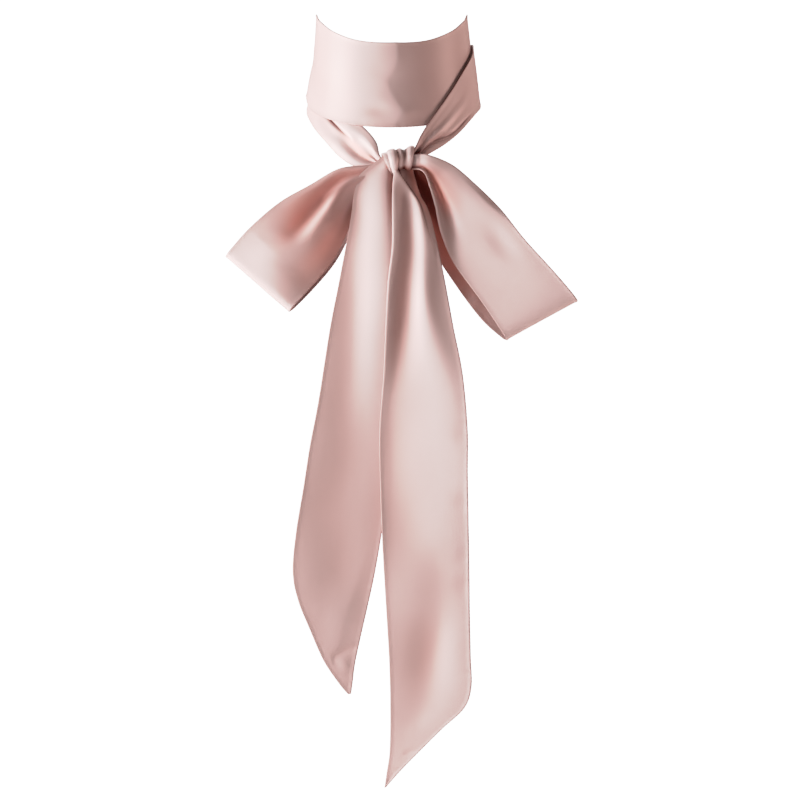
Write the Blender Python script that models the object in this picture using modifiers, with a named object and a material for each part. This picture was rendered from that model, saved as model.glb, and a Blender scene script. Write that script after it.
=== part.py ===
"""A skinny silk scarf, wound twice round the neck and tied in a bow at the front.

The real scarf is one strip of doubled satin with slanted ends. Each stretch of it that shows is one
solid: the windings, the straps that run down to the knot, the knot, two loops and two tails.
Metres, +Z up. The origin is the centre of the neck, and the bow is on the -Y side.
"""

import math

import bmesh
import bpy
import numpy as np

MM = 0.001

# Driving sizes, in metres
WALL = 0.0012

# The neck that the winding fits: a cone, rounder than it is deep, widening downwards
NECK_RADIUS = 0.0581
NECK_TOP = 0.060
NECK_FLARE = 0.123
NECK_DEPTH_SHARE = 0.95
WINDING_PITCH = 0.0018

# How finely the surfaces are drawn
STEPS_ROUND = 3
STEPS_HANGING = 2
POINTS_ACROSS = 13
POINTS_ACROSS_KNOT = 9
FOLD_END_FADE = 0.06

# Colours as linear red, green, blue
SATIN_LIGHT = (0.78, 0.56, 0.52)
SATIN_MIDDLE = (0.70, 0.47, 0.43)
SATIN_SHADE = (0.58, 0.35, 0.32)
SATIN_ROUGHNESS = 0.42

# Sections of the winding. turn: degrees along it from the left side, through the back, the right
# side and the front; z: height in mm; out: mm proud of the neck's cone; belly: mm of bow across
WINDING_COLUMNS = "turn_top z_top out_top turn_low z_low out_low belly"

STRAP_LEFT = (
    (-83.0, -60.0, 3.0, -76.5, -68.5, 1.8, 0.0),
    (-80.8, -50.0, 2.4, -68.0, -68.0, 1.2, 0.6),
    (-73.5, -39.5, -0.4, -57.0, -59.8, 0.5, 0.8),
    (-61.0, -28.0, -1.6, -44.5, -46.8, 0.0, 0.2),
    (-42.0, -6.0, -1.6, -29.0, -33.0, 0.0, -0.4),
    (-20.0, 24.0, -1.2, -14.0, -22.0, 0.0, -0.8),
    (-0.6, 46.0, -0.8, -0.6, -14.0, 0.0, -1.2),
)

BACK_INNER = (
    (0.0, 46.0, -0.8, 0.0, -14.0, 0.0, -1.2),
    (45.0, 44.0, -0.3, 45.0, -12.0, 0.0, -0.6),
    (90.0, 44.5, 0.0, 90.0, -11.0, 0.0, 0.0),
    (135.0, 50.5, 0.0, 135.0, -8.0, 0.0, -0.3),
    (179.45, 60.3, 0.0, 179.45, -4.0, 0.0, -0.8),
)

NECK_BAND = (
    (180.0, 60.3, 0.0, 180.0, -4.0, 0.0, -0.8),
    (203.0, 51.0, 0.0, 203.0, -18.0, 0.0, -0.6),
    (225.0, 38.3, 0.0, 225.0, -29.0, 0.0, -0.2),
    (247.0, 28.8, 0.0, 247.0, -36.5, 0.0, 0.2),
    (270.0, 25.8, 0.0, 270.0, -39.2, 0.0, 0.5),
    (293.0, 28.8, 0.0, 293.0, -36.5, 0.0, 0.2),
    (315.0, 38.3, 0.0, 315.0, -29.0, 0.0, -0.4),
    (337.0, 51.0, 0.0, 337.0, -18.0, 0.0, -0.9),
    (359.4, 60.3, 0.0, 359.4, -4.0, 0.0, -1.2),
)

BACK_OUTER = (
    (360.0, 60.3, 0.0, 360.0, -4.0, 0.0, -1.2),
    (405.0, 51.0, 0.0, 405.0, -10.0, 0.0, -0.5),
    (450.0, 46.0, 0.0, 450.0, -12.0, 0.0, 0.0),
    (495.0, 42.5, 0.0, 495.0, -12.0, 0.0, -0.3),
    (539.65, 37.0, 0.0, 539.65, -11.0, 0.0, -0.3),
)

STRAP_RIGHT = (
    (540.0, 37.0, 0.0, 540.0, -11.0, 0.0, -0.3),
    (560.0, 24.0, 0.0, 552.0, -16.0, 0.0, -0.2),
    (576.0, 9.5, 0.0, 563.0, -21.5, 0.0, 0.0),
    (589.5, -7.5, 0.0, 574.5, -30.0, 0.0, 0.3),
    (600.8, -23.5, 0.0, 586.5, -41.0, 0.0, 0.5),
    (608.6, -36.0, 0.0, 598.0, -51.0, -0.4, 0.6),
    (613.4, -45.5, -0.2, 606.5, -57.5, -1.2, 0.4),
    (616.7, -54.0, -0.4, 612.0, -61.5, -1.8, 0.0),
)

# Sections of the bow: the two edges of the strip in mm, and the bow across between them
EDGE_COLUMNS = "ax ay az bx by bz belly"

LOOP_LEFT = (
    (-11.5, -70.4, -66.5, -12.5, -70.6, -78.0, 0.5),
    (-20.0, -70.4, -68.0, -20.0, -70.0, -90.0, 1.5),
    (-40.0, -70.0, -70.5, -29.5, -69.0, -108.0, 4.0),
    (-62.0, -70.0, -83.0, -36.5, -69.0, -124.0, 5.0),
    (-84.0, -69.0, -95.5, -46.0, -68.0, -141.0, 4.5),
    (-106.0, -68.0, -114.0, -60.5, -67.0, -158.5, 2.5),
    (-121.0, -66.2, -130.0, -73.0, -66.0, -172.5, 0.6),
    (-124.5, -64.0, -134.5, -76.5, -64.0, -176.3, 0.0),
    (-121.5, -61.8, -131.5, -72.5, -62.0, -173.2, 0.6),
    (-104.0, -58.0, -117.0, -58.0, -58.0, -158.0, 2.5),
    (-80.0, -56.0, -98.0, -43.0, -56.0, -139.5, 3.0),
    (-56.0, -57.0, -84.0, -32.0, -57.0, -119.0, 2.5),
    (-34.0, -61.0, -75.0, -23.0, -61.0, -98.0, 1.0),
    (-13.0, -66.0, -68.0, -13.5, -66.0, -78.0, 0.0),
)

LOOP_RIGHT = (
    (18.0, -67.0, -64.0, 16.0, -67.5, -75.6, 0.0),
    (25.0, -64.5, -66.5, 12.8, -66.0, -85.0, 0.4),
    (38.0, -61.0, -74.0, 19.5, -61.5, -104.0, 1.0),
    (58.0, -57.0, -90.0, 31.0, -57.5, -130.0, 2.5),
    (84.0, -56.0, -114.0, 49.0, -56.5, -158.0, 3.0),
    (112.0, -58.0, -145.0, 67.0, -58.5, -182.5, 2.5),
    (132.5, -61.8, -167.0, 80.5, -62.0, -196.0, 0.6),
    (136.5, -64.0, -170.3, 84.0, -64.0, -198.0, 0.0),
    (133.0, -66.2, -165.5, 82.0, -66.0, -193.5, 0.6),
    (118.0, -68.0, -147.5, 69.0, -67.5, -170.0, 2.0),
    (98.5, -69.0, -125.5, 52.0, -69.0, -142.5, 3.5),
    (81.5, -70.0, -103.5, 40.0, -70.0, -120.0, 4.0),
    (63.5, -70.0, -84.5, 33.5, -70.0, -99.0, 3.0),
    (45.5, -70.5, -69.0, 28.0, -70.5, -84.0, 1.5),
    (28.0, -71.5, -62.0, 23.0, -71.5, -74.0, 0.5),
    (18.0, -72.2, -62.0, 15.6, -72.0, -72.0, 0.0),
)

TAIL_LEFT = (
    (-11.8, -76.5, -65.2, -7.4, -78.0, -69.6, 0.0),
    (-17.5, -76.5, -69.4, -5.0, -78.8, -72.9, 0.3),
    (-23.6, -76.5, -74.6, -2.4, -79.2, -77.8, 0.8),
    (-27.2, -76.5, -82.5, 0.0, -79.2, -86.0, 1.0),
    (-29.0, -76.5, -92.0, 1.8, -79.0, -96.0, 1.2),
    (-31.4, -76.0, -110.0, 3.5, -79.0, -114.0, 1.2),
    (-39.0, -75.5, -151.0, 5.0, -78.5, -151.0, 1.0),
    (-46.5, -75.0, -190.0, 5.5, -78.0, -190.0, 0.8),
    (-55.0, -74.5, -244.0, 4.5, -77.5, -244.0, 0.5),
    (-61.5, -74.0, -278.0, 1.0, -77.0, -278.0, 0.5),
    (-66.5, -73.5, -310.0, -3.0, -76.5, -310.0, 0.5),
    (-72.0, -73.0, -343.5, -8.0, -76.0, -345.0, 0.5),
    (-74.3, -72.8, -372.0, -13.0, -75.8, -374.0, 0.5),
    (-70.5, -72.8, -393.0, -18.2, -75.6, -398.0, 0.5),
    (-61.5, -73.0, -415.5, -23.0, -75.4, -419.0, 0.3),
    (-51.0, -73.6, -439.0, -27.5, -75.2, -440.0, 0.2),
    (-39.0, -74.4, -456.5, -29.5, -75.2, -455.5, 0.0),
    (-32.8, -75.0, -463.6, -30.6, -75.2, -463.3, 0.0),
)

TAIL_RIGHT = (
    (1.6, -81.2, -74.0, 9.0, -81.2, -74.0, 0.0),
    (0.5, -82.8, -81.0, 12.0, -82.0, -82.0, 0.4),
    (0.0, -84.0, -92.0, 17.0, -82.5, -92.0, 0.8),
    (0.0, -85.0, -104.0, 23.0, -83.0, -104.0, 1.0),
    (0.0, -86.0, -130.0, 32.0, -83.0, -130.0, 1.2),
    (-3.0, -86.5, -157.0, 38.5, -83.0, -157.0, 1.2),
    (-4.7, -87.0, -190.0, 45.5, -83.0, -190.0, 1.0),
    (-6.2, -87.0, -225.0, 52.3, -82.5, -225.0, 0.8),
    (-9.2, -87.0, -265.0, 56.0, -82.5, -265.0, 0.6),
    (-9.0, -86.5, -300.0, 56.2, -82.0, -300.0, 0.6),
    (-7.2, -86.0, -350.0, 57.0, -81.5, -350.0, 0.6),
    (-4.4, -85.0, -398.0, 57.6, -81.0, -398.0, 0.6),
    (-2.3, -84.0, -433.0, 58.4, -80.5, -433.0, 0.5),
    (-1.5, -83.5, -457.0, 58.9, -80.5, -455.0, 0.5),
    (-1.3, -83.0, -473.0, 53.5, -80.5, -471.0, 0.4),
    (-1.3, -82.8, -489.0, 37.0, -80.5, -487.0, 0.3),
    (-1.9, -82.4, -507.0, 19.0, -81.0, -505.5, 0.2),
    (-3.8, -82.0, -519.5, 6.2, -81.5, -519.0, 0.0),
    (-5.6, -81.8, -532.3, -4.0, -81.8, -531.0, 0.0),
)

# Sections of the knot's bands, which bend over its core. angle: degrees from straight up towards the
# front; left, right: edges in mm; middle: height of the bend's middle; reach_y, reach_z: its depth
# and height; lift: mm that the right edge is higher
KNOT_CENTRE = (6.0, -73.5, -65.2)
CORE_RADII = (9.8, 7.4, 5.8)
CORE_SIDES = 16
KNOT_COLUMNS = "angle left right middle reach_y reach_z lift belly"

KNOT_WRAP = (
    (-75.0, 3.0, 16.0, -64.5, 8.8, 8.8, 2.0, 0.0),
    (-30.0, 2.4, 16.8, -64.5, 9.0, 9.0, 3.2, 0.2),
    (20.0, 2.0, 17.0, -64.3, 9.6, 9.4, 3.8, 0.6),
    (70.0, 2.0, 16.4, -64.3, 10.2, 9.0, 3.0, 0.8),
    (110.0, 2.6, 15.8, -64.5, 10.2, 8.8, 2.2, 0.8),
    (150.0, 3.6, 15.2, -64.5, 9.2, 9.0, 2.0, 0.4),
    (200.0, 4.4, 15.0, -64.5, 8.8, 8.8, 1.6, 0.0),
)

KNOT_ROLL = (
    (-60.0, -7.2, 1.2, -67.0, 8.8, 7.9, 1.6, 0.0),
    (-10.0, -8.0, 1.3, -67.0, 8.8, 7.9, 2.4, 0.2),
    (40.0, -8.0, 1.3, -67.0, 9.2, 8.0, 2.6, 0.6),
    (90.0, -6.4, 1.3, -67.2, 9.6, 8.2, 1.0, 0.8),
    (130.0, -3.8, 1.8, -67.2, 9.4, 8.6, 0.0, 0.4),
    (180.0, -2.2, 2.4, -67.2, 8.8, 8.4, -0.6, 0.0),
)

# The largest folds. along and across are shares of the stretch's length and width; half_width is a
# share of the width; height is in mm, and below zero is a valley
FOLD_COLUMNS = "along_from along_to across_from across_to half_width height_from height_to"

STRAP_LEFT_FOLDS = (
    (0.00, 0.45, 0.38, 0.36, 0.12, -2.4, -1.6),
    (0.00, 0.35, 0.75, 0.70, 0.12, -1.6, -0.6),
)

STRAP_RIGHT_FOLDS = (
    (0.55, 1.00, 0.80, 0.60, 0.10, -0.8, -1.8),
    (0.60, 1.00, 0.55, 0.30, 0.10, 0.4, 1.2),
)

NECK_BAND_FOLDS = ((0.40, 0.62, 0.50, 0.62, 0.14, -0.7, -0.7),)

LOOP_LEFT_FOLDS = (
    (0.00, 0.20, 0.10, 0.08, 0.10, 1.6, 0.8),
    (0.06, 0.36, 0.40, 0.28, 0.13, -2.6, -2.2),
    (0.06, 0.32, 0.60, 0.50, 0.11, 1.6, 1.2),
    (0.08, 0.36, 0.80, 0.66, 0.11, -2.0, -1.4),
    (0.70, 1.00, 0.35, 0.40, 0.12, -1.4, -2.0),
    (0.66, 1.00, 0.70, 0.65, 0.12, 1.0, 1.6),
)

LOOP_RIGHT_FOLDS = (
    (0.00, 0.30, 0.40, 0.35, 0.12, -2.0, -1.4),
    (0.00, 0.34, 0.65, 0.70, 0.12, 1.6, 1.0),
    (0.66, 1.00, 0.72, 0.60, 0.13, -2.2, -2.8),
    (0.62, 0.80, 0.25, 0.22, 0.12, -1.2, -1.2),
    (0.70, 1.00, 0.92, 0.85, 0.09, 1.0, 1.6),
    (0.75, 1.00, 0.40, 0.30, 0.10, 1.0, 1.6),
)

TAIL_LEFT_FOLDS = (
    (0.10, 0.32, 0.47, 0.52, 0.12, 1.2, 1.4),
    (0.10, 0.55, 0.20, 0.30, 0.12, -1.6, -1.2),
    (0.10, 0.42, 0.75, 0.76, 0.11, -1.6, -0.8),
)

TAIL_RIGHT_FOLDS = (
    (0.07, 0.30, 0.43, 0.26, 0.14, -2.4, -2.0),
    (0.30, 0.72, 0.26, 0.16, 0.11, -2.0, -0.8),
    (0.05, 0.60, 0.70, 0.60, 0.14, 1.4, 0.8),
    (0.68, 0.93, 0.66, 0.35, 0.12, -0.9, -0.9),
)

BACK_FOLDS = ((0.10, 0.90, 0.70, 0.62, 0.12, 0.5, 0.5),)

WRAP_FOLDS = (
    (0.00, 1.00, 0.30, 0.34, 0.10, -0.6, -0.6),
    (0.00, 1.00, 0.66, 0.62, 0.10, -0.6, -0.6),
)

ROLL_FOLDS = ((0.00, 1.00, 0.55, 0.50, 0.14, -0.4, -0.6),)


def read_table(columns, rows):
    """One array for each named column of a table."""
    return dict(zip(columns.split(), np.array(rows, float).T))


def smooth_table(columns, rows, steps):
    """One array for each named column, smoothed between the rows by a Catmull-Rom curve."""
    values = np.array(rows, float)
    before = 2 * values[0] - values[1]
    after = 2 * values[-1] - values[-2]
    points = np.vstack([before, values, after])
    smooth = []
    for i in range(1, len(values)):
        p0, p1, p2, p3 = points[i - 1 : i + 3]
        for step in range(steps):
            t = step / steps
            bend = 2 * p0 - 5 * p1 + 4 * p2 - p3
            turn = 3 * p1 - p0 - 3 * p2 + p3
            smooth.append(0.5 * (2 * p1 + (p2 - p0) * t + bend * t**2 + turn * t**3))
    smooth.append(values[-1])
    return read_table(columns, smooth)


def mix(start, end, share):
    """Values between two columns, one for each point across."""
    return start[:, None] * (1 - share) + end[:, None] * share


def ease(value):
    """A soft step from 0 to 1."""
    value = np.clip(value, 0, 1)
    return value * value * (3 - 2 * value)


def fold_heights(folds, along, across):
    """The height in metres that the folds give each point of a strip."""
    table = read_table(FOLD_COLUMNS, folds)
    height = np.zeros((len(along), len(across)))
    for i in range(len(folds)):
        fold = {name: column[i] for name, column in table.items()}
        reach = (along - fold["along_from"]) / (fold["along_to"] - fold["along_from"])
        held = np.clip(reach, 0, 1)
        middle = fold["across_from"] + (fold["across_to"] - fold["across_from"]) * held
        peak = fold["height_from"] + (fold["height_to"] - fold["height_from"]) * held
        starts = ease((along - fold["along_from"]) / FOLD_END_FADE + 1)
        ends = ease((fold["along_to"] - along) / FOLD_END_FADE + 1)
        spread = (across - middle[:, None]) / fold["half_width"]
        height += (peak * starts * ends)[:, None] * np.exp(-spread * spread)
    return height * MM


def raised(grid, belly, folds):
    """The strip's points, moved out of its surface by the belly and the folds."""
    across = np.linspace(0, 1, grid.shape[1])
    middle = grid[:, grid.shape[1] // 2]
    steps = np.linalg.norm(np.diff(middle, axis=0), axis=1)
    along = np.concatenate([[0], np.cumsum(steps)]) / steps.sum()
    out = np.cross(np.gradient(grid, axis=0), np.gradient(grid, axis=1))
    out /= np.linalg.norm(out, axis=2, keepdims=True)
    height = belly[:, None] * MM * 4 * across * (1 - across) + fold_heights(folds, along, across)
    return grid + out * height[:, :, None]


def winding_grid(rows, folds):
    """A stretch that follows the spiral round the neck's cone."""
    table = smooth_table(WINDING_COLUMNS, rows, STEPS_ROUND)
    share = np.linspace(0, 1, POINTS_ACROSS)
    turn = mix(table["turn_top"], table["turn_low"], share)
    z = mix(table["z_top"], table["z_low"], share) * MM
    out = mix(table["out_top"], table["out_low"], share) * MM
    radius = NECK_RADIUS + NECK_FLARE * (NECK_TOP - z) + WINDING_PITCH * turn / 360 + out
    angle = np.radians(-90 - turn)
    x = radius * np.sin(angle)
    y = -NECK_DEPTH_SHARE * radius * np.cos(angle)
    return raised(np.stack([x, y, z], axis=2), table["belly"], folds)


def hanging_grid(rows, folds):
    """A stretch between the two edges that its table gives."""
    table = smooth_table(EDGE_COLUMNS, rows, STEPS_HANGING)
    share = np.linspace(0, 1, POINTS_ACROSS)
    x = mix(table["ax"], table["bx"], share)
    y = mix(table["ay"], table["by"], share)
    z = mix(table["az"], table["bz"], share)
    return raised(np.stack([x, y, z], axis=2) * MM, table["belly"], folds)


def knot_grid(rows, folds):
    """A band that bends over the knot's core."""
    table = smooth_table(KNOT_COLUMNS, rows, STEPS_ROUND)
    share = np.linspace(0, 1, POINTS_ACROSS_KNOT)
    angle = np.radians(table["angle"])
    y = KNOT_CENTRE[1] - table["reach_y"] * np.sin(angle)
    z = table["middle"] + table["reach_z"] * np.cos(angle)
    x = mix(table["left"], table["right"], share)
    height = mix(z - table["lift"] / 2, z + table["lift"] / 2, share)
    return raised(np.stack([x, mix(y, y, share), height], axis=2) * MM, table["belly"], folds)


def add_strip(name, grid, material, collection):
    """A cloth wall of even thickness on a grid of points."""
    rows, columns, _ = grid.shape
    faces = []
    for i in range(rows - 1):
        for j in range(columns - 1):
            corner = i * columns + j
            faces.append((corner, corner + 1, corner + columns + 1, corner + columns))
    mesh = bpy.data.meshes.new(name)
    mesh.from_pydata(grid.reshape(-1, 3).tolist(), [], faces)
    mesh.materials.append(material)
    mesh.shade_smooth()
    strip = bpy.data.objects.new(name, mesh)
    collection.objects.link(strip)
    wall = strip.modifiers.new("Wall", "SOLIDIFY")
    wall.thickness = WALL
    wall.offset = 0


def add_core(name, material, collection):
    """The squeezed cloth inside the knot, as one rounded solid."""
    mesh = bpy.data.meshes.new(name)
    shape = bmesh.new()
    bmesh.ops.create_uvsphere(shape, u_segments=CORE_SIDES, v_segments=CORE_SIDES // 2, radius=1)
    bmesh.ops.scale(shape, vec=[radius * MM for radius in CORE_RADII], verts=shape.verts)
    shape.to_mesh(mesh)
    shape.free()
    mesh.materials.append(material)
    mesh.shade_smooth()
    core = bpy.data.objects.new(name, mesh)
    core.location = [place * MM for place in KNOT_CENTRE]
    collection.objects.link(core)


def satin(name, colour):
    """Pale silk satin, the same cloth in a lighter or deeper tone."""
    material = bpy.data.materials.new(name)
    material.use_nodes = True
    shader = material.node_tree.nodes["Principled BSDF"]
    shader.inputs["Base Color"].default_value = (*colour, 1)
    shader.inputs["Roughness"].default_value = SATIN_ROUGHNESS
    shader.inputs["Metallic"].default_value = 0
    return material


def main():
    for thing in list(bpy.data.objects):
        bpy.data.objects.remove(thing)
    scarf = bpy.data.collections.new("silk_scarf")
    bpy.context.scene.collection.children.link(scarf)

    light = satin("satin_light", SATIN_LIGHT)
    middle = satin("satin_middle", SATIN_MIDDLE)
    shade = satin("satin_shade", SATIN_SHADE)

    add_strip("strap_left", winding_grid(STRAP_LEFT, STRAP_LEFT_FOLDS), light, scarf)
    add_strip("back_inner", winding_grid(BACK_INNER, BACK_FOLDS), shade, scarf)
    add_strip("neck_band", winding_grid(NECK_BAND, NECK_BAND_FOLDS), light, scarf)
    add_strip("back_outer", winding_grid(BACK_OUTER, BACK_FOLDS), middle, scarf)
    add_strip("strap_right", winding_grid(STRAP_RIGHT, STRAP_RIGHT_FOLDS), middle, scarf)

    add_core("knot_core", shade, scarf)
    add_strip("knot_wrap", knot_grid(KNOT_WRAP, WRAP_FOLDS), middle, scarf)
    add_strip("knot_roll", knot_grid(KNOT_ROLL, ROLL_FOLDS), light, scarf)

    add_strip("loop_left", hanging_grid(LOOP_LEFT, LOOP_LEFT_FOLDS), middle, scarf)
    add_strip("loop_right", hanging_grid(LOOP_RIGHT, LOOP_RIGHT_FOLDS), middle, scarf)
    add_strip("tail_left", hanging_grid(TAIL_LEFT, TAIL_LEFT_FOLDS), light, scarf)
    add_strip("tail_right", hanging_grid(TAIL_RIGHT, TAIL_RIGHT_FOLDS), light, scarf)


main()
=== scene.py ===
# %% [markdown]
# # A skinny silk scarf, wound twice round the neck and tied in a bow
#
# The real scarf is one long strip: silk satin folded double along its length, sewn shut along one
# edge and across two slanted ends, and turned right side out. This lesson lays that strip out
# stretch by stretch, as it goes round the neck, into the knot, through two loops and down two
# tails. Each stretch is a smooth surface read from a short table, gets its listed creases, and
# becomes a thin closed shell with soft rolled edges.

import math

import bpy
import numpy as np
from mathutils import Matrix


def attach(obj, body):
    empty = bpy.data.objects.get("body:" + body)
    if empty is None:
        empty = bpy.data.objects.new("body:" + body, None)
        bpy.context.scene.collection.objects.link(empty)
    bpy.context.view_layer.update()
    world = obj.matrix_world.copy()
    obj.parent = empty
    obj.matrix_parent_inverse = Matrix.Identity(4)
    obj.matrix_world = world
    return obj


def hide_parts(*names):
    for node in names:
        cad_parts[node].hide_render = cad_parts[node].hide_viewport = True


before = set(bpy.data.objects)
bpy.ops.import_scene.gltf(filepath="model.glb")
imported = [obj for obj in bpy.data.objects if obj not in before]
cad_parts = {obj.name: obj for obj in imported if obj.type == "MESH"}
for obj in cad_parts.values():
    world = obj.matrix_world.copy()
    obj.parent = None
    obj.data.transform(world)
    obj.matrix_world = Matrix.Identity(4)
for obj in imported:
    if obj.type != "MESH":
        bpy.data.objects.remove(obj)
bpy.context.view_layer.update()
print("frame nodes:", ", ".join(sorted(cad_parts)))

# %% [markdown]
# ## Sizes of the cloth
#
# A doubled strip of medium satin is about half a millimetre thick. Along its edges it is thicker,
# because the turned seam allowance lies inside and the cloth rolls round it. Surfaces are drawn
# with a row of points every 1.6 mm, and the points crowd together near the edges, where the roll
# is small and catches the light. All sizes are in millimetres, apart from those that Blender or
# the frame takes, which are in metres.

# %% Cloth sizes
MM = 0.001
ROW_STEP = 1.6
HALF_WALL = 0.28
EDGE_ROLL = 0.55
EDGE_ROLL_SPREAD = 1.4
EDGE_LINES = (0.0, 0.1, 0.28, 0.55, 1.0, 1.8, 3.0)
MIDDLE_LINES = 42

# %% [markdown]
# ## Tables become smooth rows
#
# A maker describes a fold with a few sections, so each stretch is a table with named columns and
# one row for each section. A Catmull-Rom curve runs through the rows. It passes exactly through
# every one of them, which a Bezier curve with free handles would not promise. The rows are then
# spaced evenly along the middle of the strip, so that no patch is coarser than another.


# %% Smooth a table
def smooth_table(columns, rows, steps):
    """One array for each named column, smoothed between the rows."""
    values = np.array(rows, float)
    points = np.vstack([2 * values[0] - values[1], values, 2 * values[-1] - values[-2]])
    smooth = []
    for i in range(1, len(values)):
        p0, p1, p2, p3 = points[i - 1 : i + 3]
        for step in range(steps):
            t = step / steps
            bend = 2 * p0 - 5 * p1 + 4 * p2 - p3
            turn = 3 * p1 - p0 - 3 * p2 + p3
            smooth.append(0.5 * (2 * p1 + (p2 - p0) * t + bend * t**2 + turn * t**3))
    smooth.append(values[-1])
    return dict(zip(columns.split(), np.array(smooth).T))


# %% Space the rows evenly, and the points across each row
SECTION_STEPS = 16
FEWEST_ROWS = 3
CROWDED_SHARE = 0.3


def even_rows(columns, rows, place):
    """The table at even steps along the strip's middle, and how far each step has run, in mm."""
    fine = smooth_table(columns, rows, SECTION_STEPS)
    sections = len(fine[columns.split()[0]])
    middle = place(fine, np.full((sections, 1), 0.5))[:, 0]
    run = np.concatenate([[0], np.cumsum(np.linalg.norm(np.diff(middle, axis=0), axis=1))])
    ends = np.array(EDGE_LINES[:-1])
    count = max(FEWEST_ROWS, round(run[-1] / ROW_STEP))
    inner = np.linspace(EDGE_LINES[-1], run[-1] - EDGE_LINES[-1], count)
    even = np.concatenate([ends, inner, run[-1] - ends[::-1]])
    return {name: np.interp(even, run, column) for name, column in fine.items()}, even


def shares_across(widths):
    """For each row, the shares of the width where the points lie, crowded near both edges."""
    edge = np.array(EDGE_LINES)[None, :] / widths[:, None]
    edge *= np.minimum(1, CROWDED_SHARE / edge[:, -1])[:, None]
    even = np.linspace(0, 1, MIDDLE_LINES + 2)[None, 1:-1]
    middle = edge[:, -1:] + (1 - 2 * edge[:, -1:]) * even
    return np.hstack([edge, middle, 1 - edge[:, ::-1]])


print(2 * len(EDGE_LINES) + MIDDLE_LINES, "points across each row")

# %% [markdown]
# ## Three ways to place a point
#
# The winding lies on a cone that stands for a neck, so its table gives turns and heights, and the
# cone gives the rest. The loops and tails hang free, so their tables give the two edges. The
# knot's bands bend over a small lump, so their tables give an angle round it. Each function takes
# a table and the shares across, and returns points in millimetres.

# %% Places on the neck
WINDING_COLUMNS = "turn_top z_top out_top turn_low z_low out_low belly"
NECK_RADIUS = 58.1
NECK_TOP = 60.0
NECK_FLARE = 0.123
NECK_DEPTH_SHARE = 0.95
WINDING_PITCH = 1.8


def mix(table, start, end, share):
    """Values between two columns of a table."""
    return table[start][:, None] * (1 - share) + table[end][:, None] * share


def on_the_neck(table, share):
    """Turns, in degrees from the left side, are wound on a cone that widens downwards."""
    turn = mix(table, "turn_top", "turn_low", share)
    z = mix(table, "z_top", "z_low", share)
    out = mix(table, "out_top", "out_low", share)
    radius = NECK_RADIUS + NECK_FLARE * (NECK_TOP - z) + WINDING_PITCH * turn / 360 + out
    angle = np.radians(-90 - turn)
    return np.stack([radius * np.sin(angle), -NECK_DEPTH_SHARE * radius * np.cos(angle), z], axis=2)


print(f"the neck is {2 * NECK_RADIUS:.0f} mm across at the top")

# %% Places in the air and over the knot
EDGE_COLUMNS = "ax ay az bx by bz belly"
KNOT_COLUMNS = "angle left right middle reach_y reach_z lift belly"
KNOT_FRONT = -73.5


def hanging(table, share):
    """Straight across from edge a to edge b."""
    return np.stack([mix(table, "a" + axis, "b" + axis, share) for axis in "xyz"], axis=2)


def over_the_knot(table, share):
    """Bent over an ellipse that lies across the knot, with the angle measured from its top."""
    angle = np.radians(table["angle"])
    y = KNOT_FRONT - table["reach_y"] * np.sin(angle)
    z = table["middle"] + table["reach_z"] * np.cos(angle)
    x = mix(table, "left", "right", share)
    height = z[:, None] + table["lift"][:, None] * (share - 0.5)
    return np.stack([x, np.broadcast_to(y[:, None], x.shape), height], axis=2)


print("the knot stands round y =", KNOT_FRONT)

# %% [markdown]
# ## Creases and dimples
#
# Silk gathers into long soft creases that run out of the knot. Each crease is its own short table
# of points along it, with its reach towards either edge, so it can be soft on one side and crisp
# on the other. A tuck is the same across the strip. A dimple is one soft dent or swelling anywhere
# on it. Places and reaches are shares of the strip's length or width, and heights are in
# millimetres, as are a dimple's own length and width. A cloth simulation finds creases of its own,
# not the ones that are wanted here, so they are listed one by one.

# %% Creases along the strip
CREASE_COLUMNS = "along across side_a side_b height"
CREASE_FORM = {"soft": 2.0, "crisp": 1.15}
CREASE_STEPS = 8


def soft(*rows):
    """A rounded crease."""
    return "soft", rows


def crisp(*rows):
    """A crease with a crest."""
    return "crisp", rows


def crease_heights(creases, along, across):
    """Creases that run along the strip."""
    height = np.zeros(across.shape)
    for form, rows in creases:
        path = smooth_table(CREASE_COLUMNS, rows, CREASE_STEPS)
        at = {name: np.interp(along, path["along"], path[name])[:, None] for name in path}
        within = (along >= path["along"][0]) & (along <= path["along"][-1])
        away = across - at["across"]
        side = np.where(away < 0, at["side_a"], at["side_b"])
        fade = np.exp(-(np.abs(away / side) ** CREASE_FORM[form]))
        height += within[:, None] * at["height"] * fade
    return height


print("crease columns:", CREASE_COLUMNS)

# %% Tucks across the strip, and dimples
TUCK_COLUMNS = "across along before after height"
DIMPLE_COLUMNS = "along across long wide turn height"


def tuck_heights(tucks, along, across):
    """Creases across the strip, from edge to edge. Their sides are shares of its length."""
    height = np.zeros(across.shape)
    for form, rows in tucks:
        path = smooth_table(TUCK_COLUMNS, rows, CREASE_STEPS)
        at = {name: np.interp(across, path["across"], path[name]) for name in path}
        away = along[:, None] - at["along"]
        side = np.where(away < 0, at["before"], at["after"])
        height += at["height"] * np.exp(-(np.abs(away / side) ** CREASE_FORM[form]))
    return height


def dimple_heights(dimples, run, width, across):
    """Oval dents and swellings, each turned by its own angle in degrees."""
    height = np.zeros(across.shape)
    for row in dimples:
        dimple = dict(zip(DIMPLE_COLUMNS.split(), row))
        length = run[:, None] - dimple["along"] * run[-1]
        breadth = (across - dimple["across"]) * width[:, None]
        turn = math.radians(dimple["turn"])
        down = length * math.cos(turn) + breadth * math.sin(turn)
        over = breadth * math.cos(turn) - length * math.sin(turn)
        reach = (down / dimple["long"]) ** 2 + (over / dimple["wide"]) ** 2
        height += dimple["height"] * np.exp(-reach)
    return height


print("dimple columns:", DIMPLE_COLUMNS)

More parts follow.
